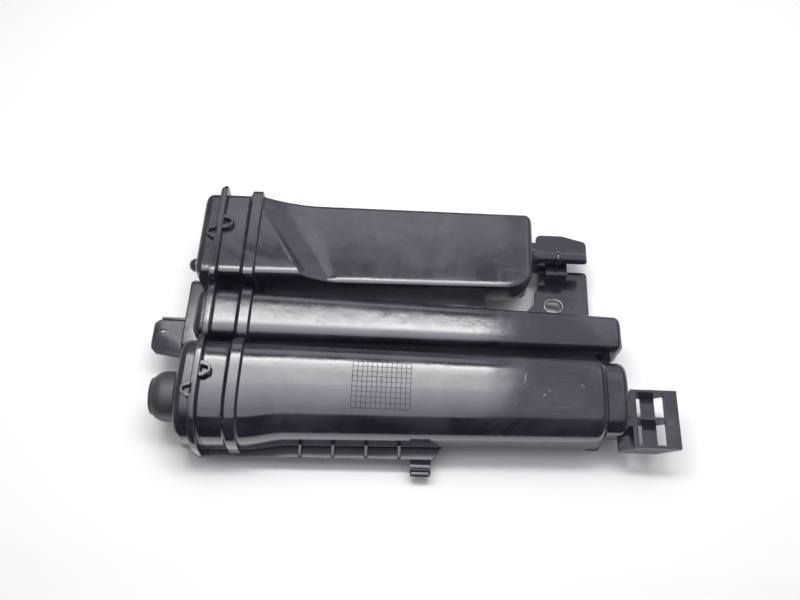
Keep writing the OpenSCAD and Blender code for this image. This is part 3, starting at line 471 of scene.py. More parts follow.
def shader_group(name, inputs, outputs):
    """An empty shader group with named number inputs and number outputs; gives its inputs and its end node too."""
    group = bpy.data.node_groups.new(name, "ShaderNodeTree")
    for key, value in inputs.items():
        group.interface.new_socket(key, in_out="INPUT", socket_type="NodeSocketFloat").default_value = value
    for key in outputs:
        group.interface.new_socket(key, in_out="OUTPUT", socket_type="NodeSocketFloat")
    return group, node(group, "NodeGroupInput").outputs, node(group, "NodeGroupOutput")


# Skin of a moulding: cloudy haze left by the melt, long flow lines, and the fine grain of the tool
moulded_skin, given, end = shader_group("moulded_skin", {"Cloud Size": 40, "Grain Size": 900},
                                        ["Cloud", "Flow", "Grain"])
place = on_piece(moulded_skin)
along = node(moulded_skin, "ShaderNodeMapping", {"Vector": place, "Scale": (0.12, 1, 1)}).outputs[0]
feed(moulded_skin, end, {"Cloud": clouds(moulded_skin, place, given["Cloud Size"], 4.0, Roughness=0.55),
                         "Flow": clouds(moulded_skin, along, given["Cloud Size"], 3.0),
                         "Grain": clouds(moulded_skin, place, given["Grain Size"], 2.0)})

# Marks of handling: short scratches at several slants, rubbed patches and smudges
handling, given, end = shader_group("handling_marks", {"Scratch Share": 0.5, "Rub Share": 0.5},
                                    ["Scratches", "Rubbed", "Smudges"])
place = on_piece(handling)
scratches = None
for slant, spot in ((0.35, 0.0), (-0.7, 3.1), (1.25, 7.7)):
    slanted = node(handling, "ShaderNodeMapping", {"Vector": place, "Location": (spot, spot, 0),
                                                   "Rotation": (0, 0, slant), "Scale": (28, 1500, 28)}).outputs[0]
    thin = graded(handling, clouds(handling, slanted, 1.0, 0.0), 0.80, 0.88)
    scratches = thin if scratches is None else maths(handling, "MAXIMUM", scratches, thin)
scratches = maths(handling, "MULTIPLY", scratches, given["Scratch Share"])
patches = graded(handling, clouds(handling, place, 22.0, 3.0), 0.62, 0.45)
rubbed = graded(handling, clouds(handling, place, 55.0, 6.0, Roughness=0.7), 0.60, 0.75)
film = clouds(handling, place, 26.0, 5.0, Roughness=0.6, Distortion=0.8)
feed(handling, end, {"Scratches": maths(handling, "MULTIPLY", scratches, patches),
                     "Rubbed": maths(handling, "MULTIPLY", rubbed, given["Rub Share"]),
                     "Smudges": graded(handling, film, 0.42, 0.64)})
RUBBED_GREY, SCAR_GREY = (0.075, 0.075, 0.08, 1), (0.26, 0.26, 0.29, 1)


def new_material(name):
    """A material with its node tree and its shader."""
    material = bpy.data.materials.new(name)
    material.use_nodes = True
    return material, material.node_tree, material.node_tree.nodes["Principled BSDF"]


def black_plastic(name, dark, light, gloss, cloud, scratch, rub, grain_depth, scars=()):
    """Moulded black plastic, from dark to hazy, with its gloss range, its share of marks and its deep scars."""
    material, tree, shader = new_material(name)
    skin = node(tree, "ShaderNodeGroup", {"Cloud Size": cloud}, node_tree=moulded_skin).outputs
    marks = node(tree, "ShaderNodeGroup", {"Scratch Share": scratch, "Rub Share": rub}, node_tree=handling).outputs
    worn = maths(tree, "ADD", marks["Scratches"], marks["Rubbed"], use_clamp=True)
    colour = mixed(tree, worn, mixed(tree, marks["Smudges"], dark, light), RUBBED_GREY)
    for spot, turn, size in scars:
        across = node(tree, "ShaderNodeMapping", {"Vector": on_piece(tree), "Location": spot, "Rotation": (0, 0, turn),
                                                  "Scale": size}, vector_type="TEXTURE")
        reach = node(tree, "ShaderNodeVectorMath", {0: across.outputs[0]}, operation="LENGTH").outputs["Value"]
        colour = mixed(tree, graded(tree, reach, 1.0, 0.4), colour, SCAR_GREY)
    sheen = graded(tree, skin["Flow"], 0.3, 0.7, *gloss)
    hazy = maths(tree, "MULTIPLY_ADD", marks["Smudges"], 0.04, sheen)
    fine = node(tree, "ShaderNodeBump", {"Height": skin["Grain"], "Distance": grain_depth, "Strength": 1.0})
    wave = node(tree, "ShaderNodeBump", {"Height": skin["Cloud"], "Distance": 0.00012, "Strength": 1.0,
                                         "Normal": fine.outputs[0]})
    feed(tree, shader, {"Base Color": colour, "Roughness": maths(tree, "MULTIPLY_ADD", worn, 0.25, hazy), "IOR": 1.53,
                        "Normal": wave.outputs[0]})
    return material


knocks = [((0.0776, -0.0426, 0.056), 1.395, (0.0046, 0.00035, 0.02)),
          ((0.09, -0.054, 0.054), 0.6, (0.0013, 0.0005, 0.02)),
          ((0.1155, -0.0465, 0.054), 2.4, (0.0021, 0.0003, 0.02)),
          ((0.0935, -0.0508, 0.054), 1.1, (0.0006, 0.0006, 0.02))]
moulded_black = black_plastic("housing_plastic", (0.010, 0.0095, 0.0155, 1), (0.029, 0.029, 0.041, 1), (0.09, 0.14),
                              45, 0.5, 0.35, 0.00001, knocks)


def plain_mesh(obj):
    """An object's mesh as its modifiers leave it."""
    return bpy.data.meshes.new_from_object(obj.evaluated_get(bpy.context.evaluated_depsgraph_get()))


def shape_group(name, inputs):
    """An empty geometry group with inputs named by kind; gives its inputs and their identifiers too."""
    group = bpy.data.node_groups.new(name, "GeometryNodeTree")
    ids = {key: group.interface.new_socket(key, in_out="INPUT", socket_type="NodeSocket" + kind).identifier
           for key, kind in inputs.items()}
    group.interface.new_socket("Geometry", in_out="OUTPUT", socket_type="NodeSocketGeometry")
    return group, node(group, "NodeGroupInput").outputs, ids


def close_group(group, shape, finish):
    """Ends a geometry group in one plain mesh of one material."""
    real = node(group, "GeometryNodeRealizeInstances", {0: shape})
    dressed = node(group, "GeometryNodeSetMaterial", {0: real.outputs[0], "Material": finish})
    node(group, "NodeGroupOutput", {0: dressed.outputs[0]})


def grown(name, group, ids, values):
    """A plain mesh from a geometry group with its inputs set."""
    holder = bpy.data.objects.new(name + "_holder", bpy.data.meshes.new(name + "_holder"))
    bpy.context.scene.collection.objects.link(holder)
    modifier = holder.modifiers.new("nodes", "NODES")
    modifier.node_group = group
    for key, value in values.items():
        modifier[ids[key]] = value
    mesh = plain_mesh(holder)
    holder.modifiers.remove(modifier)
    bpy.data.objects.remove(holder)
    bm = bmesh.new()
    bm.from_mesh(mesh)
    bpy.data.meshes.remove(mesh)
    return part_object(name, bm)


# Four upright ribs in a row along the ledge, which stiffen it against the chamber's wall
RIBS, RIB_PITCH, RIB_T, RIB_LOW, RIB_HIGH, RIB_X = 4, 22.5, 2.6, 2.6, 6, LEDGE_END - 24
LEDGE_SLOPE = (LEDGE_Y - LEDGE_Y0) / (LEDGE_END - LEDGE_X0)
rib_y = LEDGE_Y0 + LEDGE_SLOPE * (RIB_X - LEDGE_X0) + 0.8
rib_outline = [(LEDGE_ROOT, LEDGE_Z - 1), (rib_y, LEDGE_Z - 1), (rib_y, LEDGE_Z + RIB_LOW),
               (LEDGE_ROOT - 2.5, LEDGE_Z + RIB_HIGH), (LEDGE_ROOT, LEDGE_Z + RIB_HIGH)]
one_rib = prism("one_rib", "x", rib_outline, RIB_X, RIB_X + RIB_T, 0.5)
rib_row, given, ids = shape_group("rib_row", {"Rib": "Object", "Step": "Vector", "Count": "Int", "Finish": "Material"})
spots = node(rib_row, "GeometryNodeMeshLine", {"Count": given["Count"], "Offset": given["Step"]})
pattern = node(rib_row, "GeometryNodeObjectInfo", {"Object": given["Rib"]}).outputs["Geometry"]
ribs = node(rib_row, "GeometryNodeInstanceOnPoints", {"Points": spots.outputs[0], "Instance": pattern})
close_group(rib_row, ribs.outputs[0], given["Finish"])
rib_step = Vector((-RIB_PITCH, -RIB_PITCH * LEDGE_SLOPE, 0)) / 1000
solids.append(grown("ledge_ribs", rib_row, ids, {"Rib": one_rib, "Step": rib_step, "Count": RIBS,
                                                 "Finish": moulded_black}))
bpy.data.objects.remove(one_rib)

# A plain ruled grid of fine ridges on the front chamber's top, laid on its curved skin
GRID_X0, GRID_X1, GRID_Y0, GRID_Y1, GRID_ABOVE, COLUMNS, ROWS = 103.8, 142.7, -70.0, -38.0, 70, 12, 9
ruled, given, ids = shape_group("ruled_lines", {
    "Start": "Vector", "End": "Vector", "Step": "Vector", "Count": "Int", "Line Radius": "Float", "Sink": "Float",
    "Surface": "Object", "Finish": "Material"})
stroke = node(ruled, "GeometryNodeCurvePrimitiveLine", {"Start": given["Start"], "End": given["End"]})
stroke = node(ruled, "GeometryNodeResampleCurve", {"Curve": stroke.outputs[0], "Count": 60})
starts = node(ruled, "GeometryNodeMeshLine", {"Count": given["Count"], "Offset": given["Step"]})
strokes = node(ruled, "GeometryNodeInstanceOnPoints", {"Points": starts.outputs[0], "Instance": stroke.outputs[0]})
strokes = node(ruled, "GeometryNodeRealizeInstances", {0: strokes.outputs[0]})
skin_below = node(ruled, "GeometryNodeObjectInfo", {"Object": given["Surface"]}).outputs["Geometry"]
hit = node(ruled, "GeometryNodeRaycast", {"Target Geometry": skin_below, "Ray Direction": (0, 0, -1),
                                          "Ray Length": 0.1})
down = node(ruled, "ShaderNodeCombineXYZ", {2: maths(ruled, "MULTIPLY", given["Sink"], -1.0)})
laid = node(ruled, "GeometryNodeSetPosition", {"Geometry": strokes.outputs[0], "Position": hit.outputs["Hit Position"],
                                               "Offset": down.outputs[0]})
bar = node(ruled, "GeometryNodeCurvePrimitiveCircle", {"Resolution": 8, "Radius": given["Line Radius"]})
ridges = node(ruled, "GeometryNodeCurveToMesh", {"Curve": laid.outputs[0], "Profile Curve": bar.outputs[0],
                                                 "Fill Caps": True})
close_group(ruled, ridges.outputs[0], given["Finish"])
near_left, near_right, far_left = (on_frame(x, y, GRID_ABOVE) for x, y in (
    (GRID_X0, GRID_Y0), (GRID_X1, GRID_Y0), (GRID_X0, GRID_Y1)))
across, away = near_right - near_left, far_left - near_left
for name, far_end, step, count in (("grid_rows", near_right, away / ROWS, ROWS + 1),
                                   ("grid_columns", far_left, across / COLUMNS, COLUMNS + 1)):
    solids.append(grown(name, ruled, ids, {
        "Start": near_left, "End": far_end, "Step": step, "Count": count, "Line Radius": 0.00024, "Sink": 0.00008,
        "Surface": front_shell, "Finish": moulded_black}))


def smooth(obj, degrees):
    """Smooth shading, broken only at edges that turn by more than this."""
    obj.data.polygons.foreach_set("use_smooth", [True] * len(obj.data.polygons))
    obj.data.set_sharp_from_angle(angle=math.radians(degrees))
    return obj


def fuse(name, solids, cuts=()):
    """Joins solids to one closed mesh, takes the cuts away and shades it smooth between its sharp edges."""
    base, rest, groups = solids[0], solids[1:], []
    for operation, tools in (("UNION", rest), ("DIFFERENCE", cuts)):
        if not tools:
            continue
        groups.append(bpy.data.collections.new(name + "_tools"))
        for tool in tools:
            groups[-1].objects.link(tool)
        mod = base.modifiers.new(operation, "BOOLEAN")
        mod.operation, mod.solver = operation, "MANIFOLD"
        mod.operand_type, mod.collection = "COLLECTION", groups[-1]
    joined = plain_mesh(base)
    for used in [base, *rest, *cuts]:
        bpy.data.objects.remove(used)
    for group in groups:
        bpy.data.collections.remove(group)
    obj = bpy.data.objects.new(name, joined)
    bpy.context.scene.collection.objects.link(obj)
    smooth(obj, 38)
    mod = obj.modifiers.new("even", "WEIGHTED_NORMAL")
    mod.keep_sharp, mod.mode, mod.weight = True, "FACE_AREA", 80
    shaded = plain_mesh(obj)
    obj.modifiers.clear()
    obj.data = shaded
    bpy.data.meshes.remove(joined)
    shaded.name = name
    return obj


def finish_piece(piece, material, replaced):
    """Gives a new piece its material and its body, and hides the imported node that it takes the place of."""
    piece.data.materials.clear()
    piece.data.materials.append(material)
    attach(piece, "root")
    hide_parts(replaced)


housing = fuse("canister_housing", solids, cuts)
finish_piece(housing, moulded_black, "housing")

# Slot sleeve: an oval bush of zinc-plated steel, pressed into the rear plate's collar.
# It is rolled from strip, so its rims are rounded and its inside is smooth.
SLEEVE_Z0, SLEEVE_Z1 = 4.0, 14.4
sleeve_low = [(0.25, 0), (0.0, 0.25)]
sleeve_high = [(0.0, -1.8), (0.12, -1.3), (0.62, -0.3), (0.8, -0.06), (0.95, 0), (SLEEVE_T - 0.12, -0.05),
               (SLEEVE_T, -0.25)]
sleeve_foot = [(SLEEVE_T, 0.25), (SLEEVE_T - 0.25, 0)]
sleeve_profile = [(out, base + up) for base, part in ((SLEEVE_Z0, sleeve_low), (SLEEVE_Z1, sleeve_high),
                                                      (SLEEVE_Z0, sleeve_foot)) for out, up in part]


def hoop(name, rings):
    """A closed ring of rings, like a bush."""
    bm = bmesh.new()
    rows = [[bm.verts.new(on_frame(*p)) for p in ring] for ring in rings]
    count = len(rows[0])
    for j, a in enumerate(rows):
        b = rows[(j + 1) % len(rows)]
        for i in range(count):
            k = (i + 1) % count
            bm.faces.new((a[i], a[k], b[k], b[i]))
    return part_object(name, bm)


# Speckle of plated or drawn steel: one fine noise that varies its tone and its dullness
steel_speckle, given, end = shader_group("steel_speckle", {
    "Grain Size": 900, "Detail": 3, "Tone Low": 0.3, "Tone High": 0.5, "Dull Low": 0.22, "Dull High": 0.42},
    ["Tone", "Dull"])
speckle = clouds(steel_speckle, on_piece(steel_speckle), given["Grain Size"], given["Detail"])
feed(steel_speckle, end, {k: graded(steel_speckle, speckle, 0.0, 1.0, given[k + " Low"], given[k + " High"])
                          for k in ("Tone", "Dull")})


def bare_steel(name, grain, detail, tone, dull):
    """Bare metal, by its grain and its ranges of tone and dullness."""
    material, tree, shader = new_material(name)
    speckle = node(tree, "ShaderNodeGroup", {
        "Grain Size": grain, "Detail": detail, "Tone Low": tone[0], "Tone High": tone[1], "Dull Low": dull[0],
        "Dull High": dull[1]}, node_tree=steel_speckle).outputs
    feed(tree, shader, {"Metallic": 1.0, "Base Color": speckle["Tone"], "Roughness": speckle["Dull"]})
    return material


sleeve = smooth(hoop("slot_bush", [[(x, y, z) for x, y in slot_outline(out)] for out, z in sleeve_profile]), 50)
zinc = bare_steel("sleeve_steel", 900.0, 3.0, (0.3, 0.5), (0.22, 0.42))
finish_piece(sleeve, zinc, "slot_sleeve")

# Foam pads: blocks of open-cell foam, die cut and pushed into the closed end of each chamber.
# They are a little too large for their place, so they bulge and their edges round over.
CLEAR, FOAM_T, PAD_POINTS = 0.3, 12.0, 96


def pad(name, ring_at, x0, x1, edge, crown, lump):
    """A soft pad between x0 and x1 with rounded rims, crowned faces and a lumpy skin."""
    first = ring_at(x0)
    centre_y = sum(p[1] for p in first) / len(first)
    centre_z = sum(p[2] for p in first) / len(first)
    rings = []

    def add(x, share, inset):
        ring = ring_at(x)
        half = max(abs(p[1] - centre_y) for p in ring)
        scale = share * (half - inset) / half
        moved = []
        for _, y, z in ring:
            q = Vector((x, centre_y + (y - centre_y) * scale, centre_z + (z - centre_z) * scale))
            pull = 1 if share < 0.03 else 1 - abs(noise.noise(q * 0.35) * lump) / 40
            moved.append((q.x, centre_y + (q.y - centre_y) * pull, centre_z + (q.z - centre_z) * pull))
        rings.append(moved)

    inner_shares = (0.02, 0.25, 0.45, 0.62, 0.76, 0.87)
    turns = [math.radians(a) for a in (0, 22, 45, 67, 90)]
    side = x1 - x0 - 2 * crown - 2 * edge
    for share in inner_shares:
        add(x0 + crown * share ** 3, share, edge)
    for t in turns:
        add(x0 + crown + edge * (1 - math.cos(t)), 1.0, edge * (1 - math.sin(t)) + 0.1)
    for i in range(1, 6):
        add(x0 + crown + edge + side * i / 6, 1.0, 0.1 + 0.25 * math.sin(math.pi * i / 6))
    for t in reversed(turns):
        add(x1 - crown - edge * (1 - math.cos(t)), 1.0, edge * (1 - math.sin(t)) + 0.1)
    for share in reversed(inner_shares):
        add(x1 - crown * share ** 3, share, edge)
    return smooth(loft(name, rings), 60)


foam_stuff, tree, shader = new_material("foam")
cells = node(tree, "ShaderNodeTexVoronoi", {"Vector": on_piece(tree), "Scale": 900.0}).outputs["Distance"]
pores = node(tree, "ShaderNodeBump", {"Height": cells, "Distance": 0.0006})
# The base colour is painted shade: darker in the pores at the middle of each cell, where the bump dips.
feed(tree, shader, {"Base Color": graded(tree, cells, 0.0, 0.7, 0.10, 0.30), "Roughness": 0.95,
                    "Normal": pores.outputs[0]})
for k, ch in chambers.items():
    x1 = ch.length - WALL - CLEAR
    piece = pad("end_foam_" + k, lambda x: ch.ring(x, -WALL - CLEAR, True, PAD_POINTS), x1 - FOAM_T, x1, 1.6, 0.5, 1.0)
    finish_piece(piece, foam_stuff, "foam_pad_" + k)

# Fleece pads: needled white polyester felt, punched to the chamber's shape.
# Each lies between the grains and the pressure plate and keeps the dust in.
PRESS_X, PRESS_T, FLEECE_T = 8.0, 4.0, 5.0
felt, tree, shader = new_material("fleece")
stretched = node(tree, "ShaderNodeMapping", {"Vector": on_piece(tree), "Rotation": (0.6, 0.2, 0.4),
                                             "Scale": (300, 2600, 700)})
fibre = clouds(tree, stretched.outputs[0], 1.0, 4.0, Distortion=1.5)
hair = node(tree, "ShaderNodeBump", {"Height": fibre, "Distance": 0.0004})
# The base colour is painted shade between the fibres: darker where the bump is low, lighter on the raised fibres.
feed(tree, shader, {"Base Color": graded(tree, fibre, 0.3, 0.7, 0.62, 0.86), "Roughness": 0.9,
                    "Normal": hair.outputs[0]})
for k, ch in chambers.items():
    x0, x1 = PRESS_X + PRESS_T, PRESS_X + PRESS_T + FLEECE_T
    outline = ch.ring(x1, -WALL - CLEAR, True, PAD_POINTS)
    piece = pad("felt_" + k, lambda x: [(x, y, z) for _, y, z in outline], x0, x1, 1.0, 0.3, 1.2)
    finish_piece(piece, felt, "fleece_pad_" + k)

# Charcoal beds: pressed pellets of activated charcoal, poured in and shaken down until each chamber is full.
# They keep the shape of the chamber between the foam and the fleece.
pellets, tree, shader = new_material("charcoal")
place = on_piece(tree)
heap = node(tree, "ShaderNodeTexVoronoi", {"Vector": place, "Scale": 420.0}).outputs["Distance"]
round_tops = node(tree, "ShaderNodeBump", {"Height": heap, "Distance": 0.001}, invert=True)
# The base colour is painted shade: darkest in the gaps between the pellets, where the bump dips, and lighter on their
# round tops.
feed(tree, shader, {"Base Color": graded(tree, heap, 0.0, 0.8, 0.035, 0.006),
                    "Roughness": graded(tree, clouds(tree, place, 1500.0, 3.0), 0.0, 1.0, 0.7, 0.95),
                    "Normal": round_tops.outputs[0]})


def dress(name, material):
    """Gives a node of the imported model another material."""
    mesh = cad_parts[name].data
    mesh.materials.clear()
    mesh.materials.append(material)


for k in chambers:
    dress("carbon_bed_" + k, pellets)

# Pressure plates: stiff moulded grids of black nylon, pressed on the fleece by the springs.
# Rows of square windows let the vapour through, with a plain disc under each spring.
plate_nylon = black_plastic("plate_plastic", (0.012, 0.012, 0.013, 1), (0.022, 0.022, 0.023, 1), (0.42, 0.52), 60, 0.1,
                            0.1, 0.00003)
for k in chambers:
    dress("pressure_plate_" + k, plate_nylon)

# Springs: cold-coiled spring wire, four turns with closed ends, two for a wide chamber and one for the narrow one.
# Each stands on a post of the lid and keeps the bed pressed as it settles.
WIRE_R, SPRING_R, SMALL_R, TURNS, SEAT_GAP = 0.9, 9.0, 7.0, 4.0, 0.05
LID_FLOOR, MID_FLOOR, BED_Z, MID_Z = -11.5, -8.0, 31.0, 28.5
coil, given, ids = shape_group("spring_coil", {
    "Floor X": "Float", "Plate X": "Float", "Centre Y": "Float", "Centre Z": "Float", "Coil Radius": "Float",
    "Wire Radius": "Float", "Turns": "Float", "Finish": "Material"})
line = node(coil, "GeometryNodeCurvePrimitiveLine", {"End": (1, 0, 0)})
line = node(coil, "GeometryNodeResampleCurve", {"Curve": line.outputs[0], "Count": 161})
share = node(coil, "GeometryNodeSplineParameter").outputs["Factor"]
angle = maths(coil, "MULTIPLY", maths(coil, "MULTIPLY", share, given["Turns"]), 2 * math.pi)
swing = maths(coil, "COSINE", maths(coil, "MULTIPLY", share, math.pi))
ease = maths(coil, "MULTIPLY", maths(coil, "SUBTRACT", 1.0, swing), 0.5)
rise = maths(coil, "MULTIPLY", ease, maths(coil, "SUBTRACT", given["Plate X"], given["Floor X"]))
aside, upward = (maths(coil, "MULTIPLY", given["Coil Radius"], maths(coil, way, angle)) for way in ("COSINE", "SINE"))
place = node(coil, "ShaderNodeCombineXYZ", {0: maths(coil, "ADD", given["Floor X"], rise),
                                            1: maths(coil, "ADD", given["Centre Y"], aside),
                                            2: maths(coil, "ADD", given["Centre Z"], upward)})
helix = node(coil, "GeometryNodeSetPosition", {"Geometry": line.outputs[0], "Position": place.outputs[0]})
wire = node(coil, "GeometryNodeCurvePrimitiveCircle", {"Resolution": 12, "Radius": given["Wire Radius"]})
tube = node(coil, "GeometryNodeCurveToMesh", {"Curve": helix.outputs[0], "Profile Curve": wire.outputs[0],
                                              "Fill Caps": True})
close_group(coil, tube.outputs[0], given["Finish"])
wire_steel = bare_steel("spring_steel", 1800.0, 2.0, (0.42, 0.66), (0.25, 0.4))
spring_seats = {"front_near": (LID_FLOOR, -75.5, BED_Z, SPRING_R), "front_far": (LID_FLOOR, -39.5, BED_Z, SPRING_R),
                "middle": (MID_FLOOR, 0.0, MID_Z, SMALL_R), "back_near": (LID_FLOOR, 41.0, BED_Z, SPRING_R),
                "back_far": (LID_FLOOR, 77.0, BED_Z, SPRING_R)}
for k, (seat, y, z, r) in spring_seats.items():
    low, high = on_frame(seat + WIRE_R + SEAT_GAP, y, z), on_frame(PRESS_X - WIRE_R - SEAT_GAP, y, z)
    piece = grown("coil_" + k, coil, ids, {
        "Floor X": low.x, "Plate X": high.x, "Centre Y": low.y, "Centre Z": low.z, "Coil Radius": r / 1000,
        "Wire Radius": WIRE_R / 1000, "Turns": TURNS, "Finish": wire_steel})
    finish_piece(smooth(piece, 50), wire_steel, "spring_" + k)

# End lid: a second moulding of the same black plastic, hot-plate welded to the housing's flange.
# It carries the transfer duct, the mounting tongue, a knob, two eyelets and the stub of the vent.
LID_T, LID_OUT, LID_EDGE = 2.0, 4.2, 6.0
lid_depth = {"front": 14.0, "middle": 10.5, "back": 14.0}


def lobe(name, ch, depth):
    """A shallow cap over one chamber with a rounded edge."""
    stations = []
    for a in range(90, -1, -10):
        s, c = math.sin(math.radians(a)), math.cos(math.radians(a))
        stations.append((-(depth - LID_EDGE + LID_EDGE * s), -LID_EDGE * (1 - c)))
    return rim(name, ch, 0, stations + [(-0.5, 0.0)])


solids = [lobe("lobe_" + k, c, lid_depth[k]) for k, c in chambers.items()]
lid_flange = [(-LID_T - 1.2, -0.6), (-LID_T - 0.6, 0.1), (-LID_T, 0.6), *quarter(-LID_T, LID_OUT, 0.8, 1, True),
              *quarter(0, LID_OUT, 0.2, -1, False), (0, -1)]
for k, c in chambers.items():
    solids.append(rim("lid_flange_" + k, c, 0, lid_flange))

# Transfer duct, the mounting tongue with its near edge folded down, eyelets, knob and vent stub
DUCT_END, DUCT_LOW, DUCT_HIGH = -19.5, 20.0, 32.0
duct_outline = [(-21.5, 16), (27.5, 16), (31.5, DUCT_LOW), (31.5, DUCT_HIGH), (27.5, 36), (-21.5, 36),
                (-25.5, DUCT_HIGH), (-25.5, DUCT_LOW)]
solids.append(prism("duct", "x", duct_outline, DUCT_END, -1, 1.2))
TONGUE_Z0, TONGUE_Z1, FOLD_Y, FOLD_SLOPE = 27, 30, -19, 5 / 9
tongue_plan = [(-12, -0.5), (-39, -0.5), (-42, -3.5), (-42, -22), (-39, -25), (-12, -28.5)]
bm = slab("z", tongue_plan, TONGUE_Z0, TONGUE_Z1)
fold = on_frame(0, FOLD_Y, 0)
bmesh.ops.bisect_plane(bm, geom=[*bm.verts, *bm.edges, *bm.faces], plane_co=fold, plane_no=(0, 1, 0))
for v in bm.verts:
    if v.co.y < fold.y:
        v.co.z += (v.co.y - fold.y) * FOLD_SLOPE
solids.append(eased("tongue", bm, 0.5))
solids.append(block("tongue_lip", (-37, -1, TONGUE_Z0), (-18.5, 1, TONGUE_Z1 + 1.5), 0.4))
lid_eyes = [eyelet("lid_eye_front", 1 - LID_T, -64, 57, -1), eyelet("lid_eye_back", 1 - LID_T, 58, 57, -1)]
solids += [loop for loop, _ in lid_eyes]
KNOB_X, KNOB_R, KNOB_Y, KNOB_Z = -18.5, 5, 43.5, 33
ball = [(KNOB_X - KNOB_R * math.sin(math.radians(a)), KNOB_R * math.cos(math.radians(a))) for a in range(0, 85, 7)]
solids.append(turned("knob", [(-13, KNOB_R), *ball, (KNOB_X - KNOB_R, 0.3)], KNOB_Y, KNOB_Z, 40))
VENT_Y, VENT_Z, STUB_R, STUB_X, STUB_BORE = -59.0, 30.0, 11.0, -26.0, 8.5
solids.append(turned("vent_stub", [(STUB_X, STUB_R - 0.4), (STUB_X + 0.4, STUB_R), (-13, STUB_R)], VENT_Y, VENT_Z, 56))

# The space inside the lobes, the ways through the duct and the stub, and a hollow post under each spring
cuts = [cut for _, cut in lid_eyes]
for k, c in chambers.items():
    cuts.append(rim("lobe_space_" + k, c, 0, [(x, -WALL - 1.5) for x in (WALL - lid_depth[k], 1)]))
cuts.append(block("way_over", (-17, 9.5, DUCT_LOW), (-7, 14.5, DUCT_HIGH), 0))
cuts.append(block("way_across", (-17, 14, DUCT_LOW + 0.01), (-9.5, 28.5, DUCT_HIGH - 0.01), 0))
cuts.append(block("way_down", (-12.5, 14.01, DUCT_LOW + 0.02), (MID_FLOOR, 31, DUCT_HIGH - 0.02), 0))
cuts.append(turned("vent_way", [(STUB_X - 1, STUB_BORE), (-10.5, STUB_BORE)], VENT_Y, VENT_Z, 56))
cuts.append(block("tongue_hole", (-37, -10, TONGUE_Z0 - 2), (-33.6, -8, TONGUE_Z1 + 2), 0))
lid = fuse("lid_shell", solids, cuts)
posts, hollows = [], []
for k, (seat, y, z, r) in spring_seats.items():
    post_r = r - WIRE_R - 0.6
    post = [(seat - 0.5, post_r), (seat + 4.6, post_r), (seat + 5, post_r - 0.4)]
    posts.append(turned("post_" + k, post, y, z, 40))
    hollows.append(turned("hollow_" + k, [(seat + 0.5, post_r - 2), (seat + 6, post_r - 2)], y, z, 40))
lid = fuse("welded_lid", [lid, *posts], hollows)
lid_black = black_plastic("lid_plastic", (0.011, 0.0105, 0.016, 1), (0.029, 0.029, 0.04, 1), (0.14, 0.2), 50, 0.4, 0.3,
                          0.00001)
finish_piece(lid, lid_black, "end_lid")

# Vent cap: a domed rain cap of dull black plastic, pushed over the vent stub.
# Air comes in round its open rim and through the slots of the ring inside it.
CAP_X, CAP_LEN, CAP_R, CAP_EDGE, CAP_WALL = -15.5, 19.0, 17.3, 11.0, 2.0
RING_R, SEAT_STEP, SHOULDER_X, AIR_HALF, AIR_REACH = 12.8, 1.5, -29.0, 3, 15


def dome(name, r, edge, length, lip):
    """A dome as a solid, its rim toward the lid."""
    profile = [(CAP_X + (0 if lip else 1), r - lip), (CAP_X - lip, r)]
    for a in range(0, 91, 9):
        t = math.radians(a)
        profile.append((CAP_X - length + edge - edge * math.sin(t), r - edge + edge * math.cos(t)))
    return turned(name, profile, VENT_Y, VENT_Z, 72)


cap = fuse("cap_dome", [dome("cap_outside", CAP_R, CAP_EDGE, CAP_LEN, 0.4)],
           [dome("cap_space", CAP_R - CAP_WALL, CAP_EDGE - CAP_WALL, CAP_LEN - CAP_WALL, 0)])
ring = turned("cap_ring", [(CAP_X - 2, RING_R - 0.3), (CAP_X - 2.3, RING_R), (CAP_X - CAP_LEN + 1, RING_R)], VENT_Y,
              VENT_Z, 72)
seat = [(CAP_X, STUB_R + 0.02), (STUB_X, STUB_R + 0.02), (STUB_X, STUB_R - SEAT_STEP),
        (CAP_X - CAP_LEN + CAP_WALL, STUB_R - SEAT_STEP)]
bores = [turned("cap_seat", seat, VENT_Y, VENT_Z, 72),
         block("air_slot_y", (SHOULDER_X - 2.5, VENT_Y - AIR_REACH, VENT_Z - AIR_HALF),
               (SHOULDER_X, VENT_Y + AIR_REACH, VENT_Z + AIR_HALF), 0),
         block("air_slot_z", (SHOULDER_X - 2.51, VENT_Y - AIR_HALF, VENT_Z - AIR_REACH),
               (SHOULDER_X + 0.01, VENT_Y + AIR_HALF, VENT_Z + AIR_REACH), 0)]
cap = fuse("cap_shell", [cap, fuse("cap_seat_ring", [ring], bores)])
cap_black = black_plastic("cap_plastic", (0.024, 0.024, 0.028, 1), (0.036, 0.036, 0.041, 1), (0.38, 0.48), 70, 0.2,
                          0.3, 0.00003)
finish_piece(cap, cap_black, "vent_cap")

# Studio: a plain pale floor under two soft lights, and a dim surround that darkens behind the camera.
# Level panels overhead show only in the gloss, bright over the back and dimmer to the front and the right.
# A low panel and a dark card before the part shape the gloss of its front, and the camera has the photo's angle.
PANEL_X, PANEL_Z, FLOOR_HALF = (-0.35, 0.142), 0.66, 4
CARD_Y, CARD_HALF, CARD_Z0, CARD_Z1 = -0.155, 0.6, 0.001, 0.057


def studio_sheet(name, points, colour, roughness):
    """A flat sheet of the studio in one plain colour."""
    mesh = bpy.data.meshes.new(name)
    mesh.from_pydata(points, [], [(0, 1, 2, 3)])
    paint, tree, shader = new_material(name + "_paint")
    feed(tree, shader, {"Base Color": colour, "Roughness": roughness})
    mesh.materials.append(paint)
    sheet = bpy.data.objects.new(name, mesh)
    bpy.context.scene.collection.objects.link(sheet)
    return sheet


